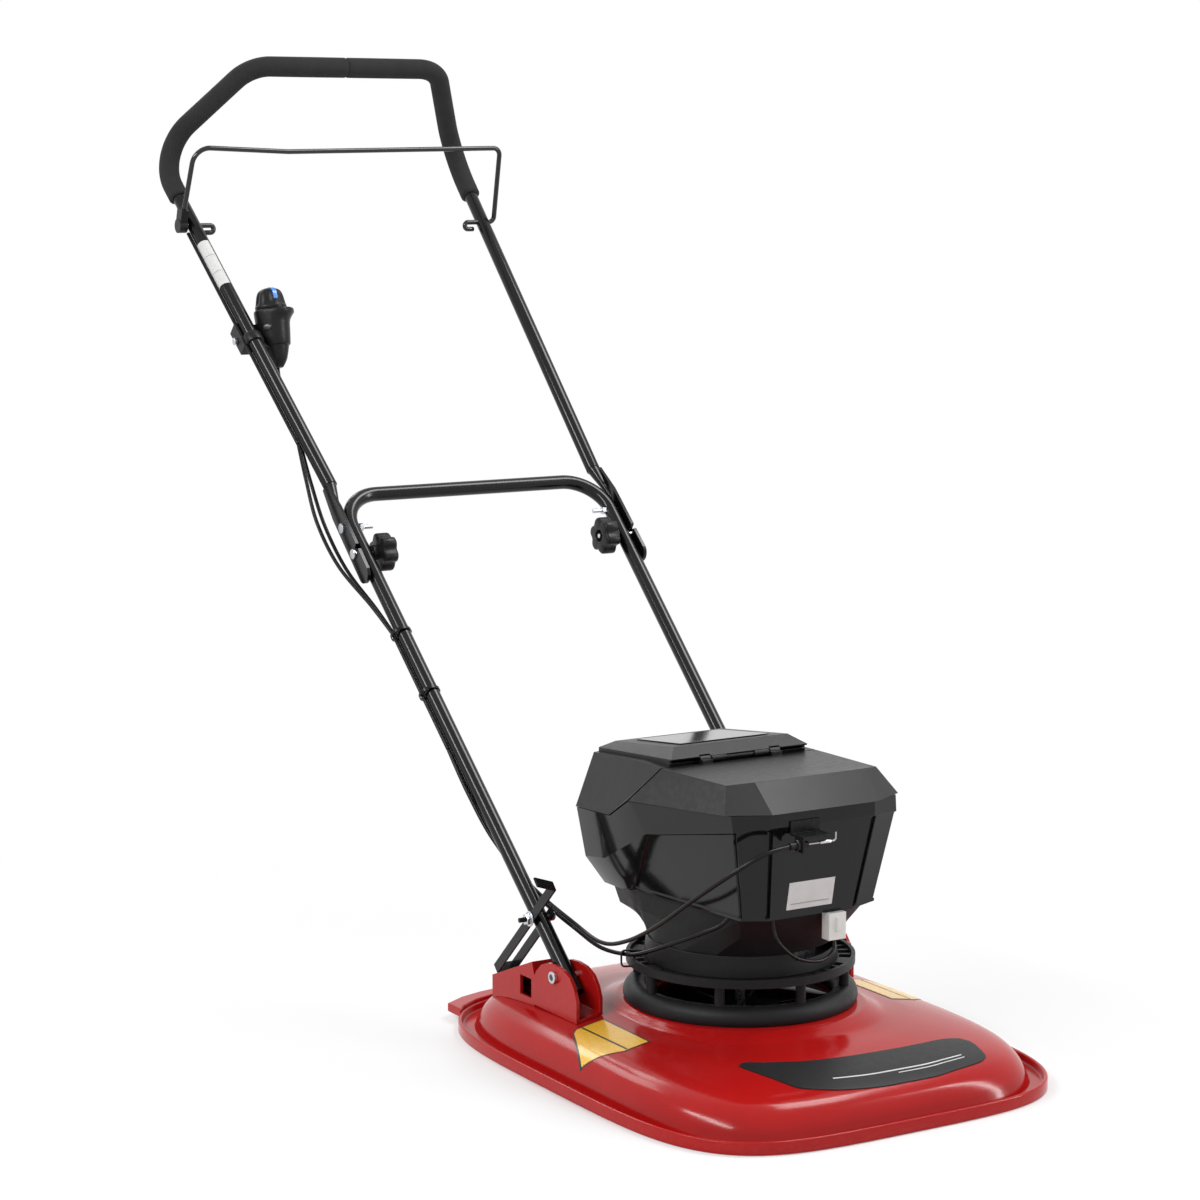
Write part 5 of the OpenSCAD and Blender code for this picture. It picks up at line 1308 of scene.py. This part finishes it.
    def _lower_casing(self) -> None:
        """The gloss casing, as rings from its floor up to the cover and down its inside wall to its floor.

        It has a proud band, set-back panels and two grooves at each front corner.
        """
        k, f, depth = self.columns()
        share = f[:, None]

        def round_it(corners: Array) -> Array:
            """Points of every column on a ring of corners."""
            return corners[k] * (1 - share) + np.roll(corners, -1, 0)[k] * share

        corners = self.ring(self.mid)
        run = np.roll(corners, -1, 0) - corners
        inward = unit(np.column_stack([-run[:, 1], run[:, 0], np.zeros(len(run))]))
        way = np.where(share == 0, unit(inward[k] + inward[k - 1]), inward[k]) * depth[:, None]
        low, mid, top = (round_it(self.ring(s)) for s in (self.low, self.mid, self.top))
        # Edges 2 to 8 go round the back without relief, and those below 6 are on the far side
        rear = (k > 1) & (k < 9)
        plain = (rear | (k == 9) & (f == 0))[:, None]
        rows = [np.broadcast_to(low.mean(0), low.shape)]
        rows += [low + (mid - low) * np.where(plain, t > self.fold_share, t) + way * d for t, d in self.relief]
        rows += [top, round_it(self.ring(self.top, -self.wall)), round_it(self.ring(self.mid, -self.wall))]
        floor = round_it(self.ring(self.low, -self.wall)) * (1, 1, 0) + (0, 0, self.inner_floor)
        rows += [floor, np.broadcast_to(floor.mean(0), floor.shape)]
        grid = np.array(rows)
        _, quads = cells(*grid.shape[:2], close_cols=True)
        quads = quads.reshape(len(rows) - 1, len(k), 4)
        split = np.zeros(quads.shape[:2], bool)
        split[self.relief_row, rear] = True
        far = np.broadcast_to(k < 6, split.shape)
        pairs = [quads[split & far][:, (0, 1, 2)], quads[split & far][:, (0, 2, 3)],
                 quads[split & ~far][:, (0, 1, 3)], quads[split & ~far][:, (1, 2, 3)]]
        faces = quads[~split].tolist() + np.vstack(pairs).tolist()
        thing = put_mesh("lower_casing_moulding", from_deck(grid).reshape(-1, 3), faces, self.sharp)
        soften(thing, self.edge, self.edge_limit)
        dress(thing, "base", GLOSS_BLACK, Slot.GLOSS, "lower_casing")

    def _label(self) -> None:
        """A plain white label on the sloping front face, with a thin grey line near its foot."""
        for name, xs, zs, lift, finish in self.labels:
            x, z = np.linspace(*xs, 12), np.linspace(*zs, 8)[:, None]
            y = self.front_y - self.front_lean * (z - self.foot_z) / self.front_rise
            top, under = (from_deck(points(x, y - out, z)) for out in (lift, -self.label_under))
            dress(slab(name, top, under), "base", finish, Slot.WHITE)


@dataclass
class LowerHandle:
    """The lower tube, its bolts, star knobs, ties and the park strut."""

    end: float = 26.0
    bend: float = 55.0
    wall: float = 1.6
    clamp_s: float = 662.0
    knob_r: float = 25.0
    knob_h: float = 20.0
    knob_gap: float = 0.6
    boss_h: float = 8.0
    bore_r: float = 3.05
    lobes: int = 6
    lobe_root: float = 11.0
    lobe_dip: float = 5.0
    lobe_power: float = 1.4
    strut_place: Triple = (-196.7, 84.0, 0.0)
    washer: tuple = ((0.5, 0.0), (8.8, 0.0), (9.2, 0.4), (9.2, 1.2), (8.8, 1.6), (0.5, 1.6))
    nut: tuple = ((0.5, 1.5), (7.0, 1.5), (7.4, 2.0), (7.4, 6.2), (6.6, 6.9), (0.5, 6.9))
    thread_span: Pair = (6.8, 14.6)
    thread_rows: int = 27
    thread_r: Pair = (3.0, 2.6)
    thread_tip: tuple = ((2.0, 15.2), (0.5, 15.2))

    def build(self) -> None:
        """Builds the tube and knobs, and dresses the bolts and the strut."""
        h = HANDLE
        x0 = h.lower_x(-self.end)
        path = bend_path([(-x0, -self.end, 0), (-h.cross_half, h.lower_len, 0), (h.cross_half, h.lower_len, 0),
                          (x0, -self.end, 0)], (0, self.bend, self.bend, 0), step=3.0)
        tube = open_tube("lower_tube", h.at(path), h.tube_d, self.wall)
        dress(tube, "handle", TUBE_PAINT, Slot.TUBE, "lower_handle")
        for node, edge, finish, slot in (("strut_bolt", 0.5, ZINC_BRIGHT, Slot.ZINC),
                                         ("fold_bolts", 0.5, ZINC_BRIGHT, Slot.ZINC),
                                         ("clamp_bolts", 0.5, ZINC_BRIGHT, Slot.ZINC),
                                         ("cable_ties", 0.3, SHEATH, Slot.SATIN)):
            moulded(node, f"{node}_set", edge, "handle", finish, slot)
        moulded("park_strut", "park_strut_strip", 0.5, "strut", STRUT_PAINT, Slot.TUBE)
        self._strut_nut()
        self._knob("knob_far", 1.0)
        self._knob("knob_near", -1.0)

    def _strut_nut(self) -> None:
        """The washer, the six-sided nut and the threaded end of the strut's bolt."""
        _, s, n = HANDLE.axes()
        foot = HANDLE.at(self.strut_place)
        height = np.linspace(*self.thread_span, self.thread_rows)
        ridge = np.where(np.arange(self.thread_rows) % 2 == 0, *self.thread_r)
        thread = [(0.5, self.thread_span[0]), *np.column_stack([ridge, height]).tolist(), *self.thread_tip]
        for name, profile, sides, finish in (("strut_washer", self.washer, 48, ZINC_BRIGHT),
                                             ("strut_nut", self.nut, 6, ZINC_BRIGHT),
                                             ("strut_bolt_thread", thread, 24, STRUT_PAINT)):
            piece = turned(name, profile, foot, (s, n, -RIGHT), sides=sides, angle=30.0)
            dress(piece, "handle", finish, Slot.ZINC)

    def _knob(self, node: str, side: float) -> None:
        """A star knob: lobes swell a turned form with a boss at the tube and a hollow round its bolt.

        Args:
            node: the CAD node, which is also the body that it turns with.
            side: -1 for the near side, 1 for the far side.
        """
        h = HANDLE
        seat = h.lower_x(self.clamp_s) - h.tube_d / 2 - self.knob_gap
        r, foot, top, bore = self.knob_r, self.boss_h, self.boss_h + self.knob_h, self.bore_r
        profile = [(bore, 0.0), (9.4, 0.0), (10.0, 0.6), (10.0, foot - 1.0), (13.0, foot), (r - 1.6, foot),
                   (r - 0.5, foot + 0.5), (r, foot + 1.8), (r, top - 4.0), (r - 0.6, top - 1.9),
                   (r - 2.2, top - 0.6), (r - 4.4, top), (9.0, top), (8.2, top - 0.7), (7.8, top - 5.0),
                   (bore, top - 5.0)]

        def star(radius: Array, height: Array, angle: Array) -> Array:
            """Draws the radius in between the lobes, where it is beyond the boss.

            Args:
                radius: the profile's radius, on a grid.
                height: height above the foot.
                angle: angle round the axis, in radians.

            Returns:
                The new radius.
            """
            share = np.clip((radius - self.lobe_root) / (r - self.lobe_root), 0.0, 1.0)
            dip = ((1 - np.cos(self.lobes * angle)) / 2) ** self.lobe_power
            return radius - self.lobe_dip * dip * share

        _, s, n = h.axes()
        origin = h.at([side * seat, self.clamp_s, 0.0])
        knob = turned(f"{node}_star", profile, origin, (n, s, -side * RIGHT), star, sides=144, angle=40.0,
                      loop=True)
        dress(knob, node, KNOB_BLACK, Slot.SATIN, node)


@dataclass
class UpperHandle:
    """The upper tube with its flattened ends, the foam grip and a plain label."""

    bar_half: float = 147.0
    bar_back: float = 10.0
    bar_rise: float = 173.0
    corner_bend: float = 62.0
    bar_bend: float = 50.0
    skin_gap: float = 0.06
    flat_s: float = 783.0
    foam_d: float = 28.4
    foam_s: float = 1325.0
    foam_gap: float = 0.3
    foam_wave: float = 0.12
    foam_waves: float = 9.0
    # Length and depth of the rounding at the foam's lower end, and at the seam between its halves
    bull: Pair = (3.2, 2.6)
    seam: Pair = (2.6, 1.1)
    label_under: float = 0.1
    labels: tuple = (("tube_label", (1148.0, 1231.0), (70.0, 196.0), 0.28, LABEL_WHITE),
                     ("tube_label_line_a", (1172.0, 1172.9), (78.0, 188.0), 0.4, LABEL_GREY),
                     ("tube_label_line_b", (1203.0, 1203.9), (78.0, 188.0), 0.4, LABEL_GREY))

    def corners(self) -> list[Triple]:
        """Lists the corners of the upper tube's line.

        Returns:
            The corners from its near root to its far root, in the handle's frame.
        """
        h, x, n = HANDLE, self.bar_half, self.bar_rise
        top = h.upper_len - self.bar_back
        return [(-h.upper_root, h.upper_start, 0), (-h.upper_half, h.upper_len, 0), (-x, top, n),
                (x, top, n), (h.upper_half, h.upper_len, 0), (h.upper_root, h.upper_start, 0)]

    def build(self) -> None:
        """Builds the tube, its flat ends, both foam halves and the label."""
        h = HANDLE
        bends = (0, self.corner_bend, self.bar_bend, self.bar_bend, self.corner_bend, 0)
        path = h.at(bend_path(self.corners(), bends, step=3.0))
        tube = rod_skin("upper_tube", path, h.tube_d + self.skin_gap, sides=40, edge=0.4)
        dress(tube, "upper", TUBE_PAINT, Slot.TUBE, "upper_handle")
        flat = copy_of("upper_handle", "upper_flat_ends", 0.5, (h.at([0.0, self.flat_s, 0.0]), h.axes()[1]))
        dress(flat, "upper", TUBE_PAINT, Slot.TUBE, "upper_handle")
        for side, node in ((-1.0, "grip_near"), (1.0, "grip_far")):
            self._foam(side, node)
        self._label()

    def _foam(self, side: float, node: str) -> None:
        """Half of the foam sleeve: a soft-edged round tube along the bent bar, a little fuller between its ends.

        Args:
            side: -1 for the near half, 1 for the far half.
            node: the CAD node that it stands for.
        """
        h = HANDLE
        _, low, high = np.array(self.corners()[:3], float) * (-side, 1.0, 1.0)
        first = (side * h.upper_x(self.foam_s), self.foam_s, 0.0)
        middle = (side * self.foam_gap, h.upper_len - self.bar_back, self.bar_rise)
        bends = (0, self.corner_bend, self.bar_bend, 0)
        path = even_path(h.at(bend_path([first, low, high, middle], bends, step=2.0)), step=2.5)
        run = np.linspace(0, 1, len(path))
        length = np.linalg.norm(np.diff(path, axis=0), axis=1).sum()
        near_end = np.minimum(run * length, (1 - run) * length)
        body = self.foam_d / 2 - self.foam_wave + self.foam_wave * np.sin(run * self.foam_waves)
        bull = 1 - np.clip(near_end / self.bull[0], 0.0, 1.0)
        seam = 1 - np.clip(near_end / self.seam[0], 0.0, 1.0)
        end = self.bull[1] * (1 - np.sqrt(1 - bull ** 2))
        radius = body - np.where(run < 0.5, end, self.seam[1] * seam ** 2)
        thing = skin(f"{node}_foam", round_rings(path, carried_frames(path), radius, 48), angle=60.0)
        dress(thing, "upper", FOAM_GREY, Slot.FOAM, node)

    def _label(self) -> None:
        """A plain white label wrapped on the near tube, with thin grey lines."""
        h = HANDLE

        def wrap(s: Array, a: Array, radius: float) -> Array:
            """Points round the near tube at places along it and angles about it."""
            return h.at(points(-h.upper_x(s) + radius * np.cos(a), s, radius * np.sin(a)))

        for name, span, turn, lift, finish in self.labels:
            s, a = np.linspace(*span, 14)[:, None], np.radians(np.linspace(*turn, 30)[None])
            top, under = (wrap(s, a, h.tube_d / 2 + out) for out in (lift, -self.label_under))
            dress(slab(name, top, under, angle=50.0), "upper", finish, Slot.WHITE)


@dataclass
class Controls:
    """The bail with its cable block, and the switch pod with its knob and clamp."""

    bail_d: float = 7.0
    bail_out: float = 248.121
    bail_in: float = 200.121
    bail_top: float = 240.621
    bail_s: float = 1270.0
    bail_rise: Pair = (48.0, 102.0)
    bail_kink: Triple = (-99.248, 44.0, 98.0)
    bail_hook: float = 7.0
    bail_back: float = 14.0
    bail_bends: tuple = (0, 4.8, 4.8, 8, 24, 60, 12, 8, 4.8, 4.8, 0)
    pod_line: tuple = ((0.6, 0.0), (7.6, 0.0), (8.6, 0.8), (12.0, 6.0), (14.6, 11.2), (17.0, 20.0), (18.8, 28.6),
                       (19.0, 29.6), (19.2, 30.0), (20.6, 30.4), (21.2, 31.4), (22.2, 42.0), (23.2, 56.0),
                       (23.6, 61.0), (23.8, 64.0), (23.9, 66.5), (24.0, 69.0), (24.1, 71.5), (24.2, 74.0),
                       (24.2, 76.5), (24.0, 78.4), (23.4, 79.3), (22.4, 79.8), (19.6, 80.0), (5.0, 80.0),
                       (5.0, 92.0), (0.6, 92.0))
    visor_out: float = 6.6
    # In radians
    visor_turn: float = 0.54
    visor_wide: float = 0.1
    # Height where the visor starts and over which it grows, how it grows, and the radius beyond which it shows
    visor_span: Pair = (62.0, 12.0)
    visor_power: float = 1.4
    visor_from: float = 20.0
    tail_in: float = 1.2
    tail_h: float = 30.0
    tail_from: float = 6.0
    head_foot: float = 80.3
    head_r: float = 21.6
    flutes: int = 6
    flute_deep: float = 2.6
    # Heights where the flutes start and end, each with the length over which they deepen or fade
    flute_span: tuple = ((4.4, 3.0), (29.0, 6.0))
    flute_power: float = 1.5
    flute_from: float = 7.0
    mark_wide: tuple = (-3.0, -2.6, 2.6, 3.0)
    mark_lift: tuple = (0.0, 0.5, 0.5, 0.0)
    mark_under: Pair = (1.4, 1.2)
    port_turn: float = 225.0
    port_up: float = 54.0
    port_out: float = 22.4
    port_stretch: float = 1.3
    port_ring: tuple = ((3.8, 0.0), (3.8, 0.9), (4.1, 1.2), (4.6, 1.1), (5.0, 0.5), (5.0, -1.2), (3.8, -1.2))
    # Profile of the black disc in the port, which is painted shade for the hole's depth
    port_disc: tuple = ((0.3, 0.95), (3.6, 0.95), (3.9, 0.8), (3.9, -0.9), (0.3, -0.9))
    clamp_s: float = 1062.0
    clamp_half: float = 20.9
    clamp_edge: float = 1.2
    clamp_end: float = 0.95
    cradle_r: float = 9.6
    cradle_turn: Pair = (198.0, 342.0)
    # Corners of the clamp's section about the tube's centre, before and after its cradle
    cradle_lip: Pair = (-14.4, -3.0)
    clamp_line: tuple = ((13.0, -5.0), (17.0, -6.5), (25.4, -7.5), (25.4, -21.0), (22.0, -22.4), (-14.4, -22.4))
    strap_r: float = 12.8
    strap_l: float = 14.0
    strap_turn: Pair = (205.0, -25.0)

    def build(self) -> None:
        """Builds the bail and the pod, and dresses the rest."""
        o, i, t, s = self.bail_out, self.bail_in, self.bail_top, self.bail_s
        hook, back, (up, out), kink = self.bail_hook, self.bail_back, self.bail_rise, self.bail_kink
        line = [(-i - back, s - hook, -hook), (-i, s - hook, -hook), (-i, s, 0), (-o, s, 0), (-t, s + up, out),
                (kink[0], s + kink[1], kink[2]), (t, s + up, out), (o, s, 0), (i, s, 0), (i, s - hook, -hook),
                (i + back, s - hook, -hook)]
        path = HANDLE.at(bend_path(line, self.bail_bends, step=6.0))
        dress(rod_skin("bail_wire", path, self.bail_d, edge=0.8), "bail", BAIL_COAT, Slot.STEEL, "bail")
        moulded("bail_cable_block", "bail_block", 0.9, "bail", KNOB_BLACK, Slot.SATIN)
        self._clamp()
        moulded("pod_bolt", "pod_bolt_screw", 0.5, "upper", ZINC_BRIGHT, Slot.ZINC)
        self._pod()
        self._port()
        self._head()

    def pod_axes(self) -> tuple[Array, Array, Array]:
        """Directions across the pod, towards its rear and along its axis, which is tilted off the tube.

        Returns:
            The three directions in the part frame.
        """
        across, s, n = HANDLE.axes()
        a = np.radians(HANDLE.pod_tilt)
        axis = s * np.cos(a) + n * np.sin(a)
        return across, np.cross(axis, across), axis

    def _clamp(self) -> None:
        """The pod's clamp: a block with a cradle under the tube, and a strap over the tube at its lower end."""
        under, over = (np.radians(np.linspace(*turn, count))
                       for turn, count in ((self.cradle_turn, 25), (self.strap_turn, 30)))
        cradle, arch = (np.column_stack([np.cos(a), np.sin(a)]) for a in (under, over))
        low, high = self.clamp_s - self.clamp_half, self.clamp_s + self.clamp_half
        block = np.vstack([[self.cradle_lip], cradle * self.cradle_r, self.clamp_line])
        self._along_tube("pod_clamp_moulding", block, (low, high))
        strap = np.vstack([arch * self.strap_r, arch[::-1] * self.cradle_r])
        self._along_tube("pod_clamp_strap", strap, (low, low + self.strap_l))

    def _along_tube(self, name: str, line: Array, span: Pair) -> None:
        """Carries a section along the near tube, with its ends drawn in a little.

        Args:
            name: the piece's name.
            line: the section's corners about the tube's centre.
            span: where it starts and ends along the tube.
        """
        low, high = span
        s = np.array([low, low + self.clamp_edge, high - self.clamp_edge, high])[:, None]
        size = np.array([self.clamp_end, 1.0, 1.0, self.clamp_end])[:, None]
        middle = line.mean(0)
        x = middle[0] + (line[:, 0] - middle[0]) * size - HANDLE.upper_x(s)
        n = middle[1] + (line[:, 1] - middle[1]) * size
        thing = skin(name, HANDLE.at(points(x, s, n)), angle=30.0)
        dress(thing, "upper", KNOB_BLACK, Slot.SATIN, "pod_clamp")

    def _port(self) -> None:
        """A raised oval ring on the front of the pod, with a dark bottom: a black disc that is painted shade for
        the hole's depth.
        """
        across, rear, axis = self.pod_axes()
        a = np.radians(self.port_turn)
        out = across * np.cos(a) + rear * np.sin(a)
        foot = HANDLE.at(HANDLE.pod_base) + axis * self.port_up + out * self.port_out
        axes = (np.cross(axis, out) * self.port_stretch, axis, out)
        ring = turned("pod_port_ring", self.port_ring, foot, axes, sides=32, loop=True)
        dress(ring, "upper", KNOB_BLACK, Slot.SATIN)
        # A black disc in the ring: painted shade for the hole's depth
        bottom = turned("pod_port_shade_disc", self.port_disc, foot, axes, sides=32)
        dress(bottom, "upper", PRINT_AND_SHADE_BLACK, Slot.SATIN)

    def _head(self) -> None:
        """The switch head: a fluted turned knob with a domed crown, and a blue pointer over its front."""
        across, rear, axis = self.pod_axes()
        origin = HANDLE.at(HANDLE.pod_base) + axis * self.head_foot
        r = self.head_r
        crown = [(r - 3.4, 19.0), (r - 4.2, 21.6), (r - 5.6, 24.4), (r - 8.0, 26.8), (r - 11.0, 28.4),
                 (r - 14.6, 29.4), (4.0, 29.9)]
        profile = [(5.4, 12.4), (5.4, 0.4), (r - 1.4, 0.0), (r - 0.4, 0.5), (r, 1.6), (r, 4.4), (r - 0.4, 5.4),
                   (r - 0.9, 7.0), (r - 1.6, 10.5), (r - 2.4, 14.5), *crown, (0.4, 30.0)]

        def fluted(radius: Array, height: Array, angle: Array) -> Array:
            """Presses broad grip flutes into the side between its foot and its crown.

            Args:
                radius: the profile's radius, on a grid.
                height: height above the foot.
                angle: angle round the axis, in radians.

            Returns:
                The new radius.
            """
            (low, rise), (high, fall) = self.flute_span
            band = np.clip((height - low) / rise, 0.0, 1.0) * np.clip((high - height) / fall, 0.0, 1.0)
            wave = (0.5 + 0.5 * np.cos(self.flutes * angle)) ** self.flute_power
            return radius - self.flute_deep * band * (radius > self.flute_from) * wave

        head = turned("switch_head", profile, origin, (across, rear, axis), fluted, angle=40.0)
        dress(head, "switch", KNOB_BLACK, Slot.SATIN, "switch_knob")
        line = np.array([(r - 2.0, 12.5), (r - 2.4, 14.5), *crown])[:, None]
        wide, lift = (np.array(v)[None, :, None] for v in (self.mark_wide, self.mark_lift))
        out, up = line[..., :1], line[..., 1:]
        face = origin + wide * across - (out + lift) * rear + (up + lift) * axis
        under = origin + wide * across - (out - self.mark_under[0]) * rear + (up - self.mark_under[1]) * axis
        dress(slab("switch_pointer", face, under), "switch", BLUE_MARK, Slot.BLUE, "switch_mark")

    def _pod(self) -> None:
        """The pod: a turned shell with a stepped waist, and a brim that swells into a visor on one side."""

        def brim(radius: Array, height: Array, angle: Array) -> Array:
            """Flattens the tail's sides a little and draws the brim out where it faces forward and inwards.

            Args:
                radius: the profile's radius, on a grid.
                height: height above the foot.
                angle: angle round the axis, in radians.

            Returns:
                The new radius.
            """
            wide, (low, rise) = self.visor_wide, self.visor_span
            face = np.clip((np.cos(angle + self.visor_turn) + wide) / (1 + wide), 0.0, 1.0)
            band = np.clip((height - low) / rise, 0.0, 1.0) ** self.visor_power * (radius > self.visor_from)
            tail = np.clip((self.tail_h - height) / self.tail_h, 0.0, 1.0) * (radius > self.tail_from)
            visor = self.visor_out * face * face * (3 - 2 * face) * band
            return radius + visor - self.tail_in * tail * np.cos(angle * 2) ** 2

        shell = turned("switch_pod_shell", self.pod_line, HANDLE.at(HANDLE.pod_base), self.pod_axes(), brim)
        dress(shell, "upper", KNOB_BLACK, Slot.SATIN, "switch_pod")


@dataclass
class InnerWorks:
    """The pieces inside the housing and under the deck, which keep their CAD shape."""

    finishes: dict[str, Finish] = field(default_factory=lambda: {
        "lid_hinge_pin": SATIN_BLACK, "battery_pack": PACK_SHELL, "battery_terminal": SATIN_BLACK,
        "controller_board": BOARD_GREEN, "motor_can": STEEL_WIRE, "motor_stator": CORE_IRON,
        "motor_rotor": CORE_IRON, "motor_shaft": STEEL_WIRE, "shaft_bearings": STEEL_WIRE,
        "impeller": GRAINED_BLACK, "cutter_blade": STEEL_WIRE, "blade_bolt": ZINC_BRIGHT})

    def build(self) -> None:
        """Gives each node its finish."""
        for node, finish in self.finishes.items():
            paint(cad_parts[node], finish)
            LOG.info("node %s keeps its shape", node)


def main() -> None:
    """Builds the scene in order."""
    logging.basicConfig(level=logging.INFO, format="%(message)s")
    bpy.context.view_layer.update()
    for part in (Studio, Cables, Deck, Intake, Housing, LowerHandle, UpperHandle, Controls, InnerWorks):
        LOG.info("building %s", part.__name__)
        part().build()


if __name__ == "__main__":
    main()
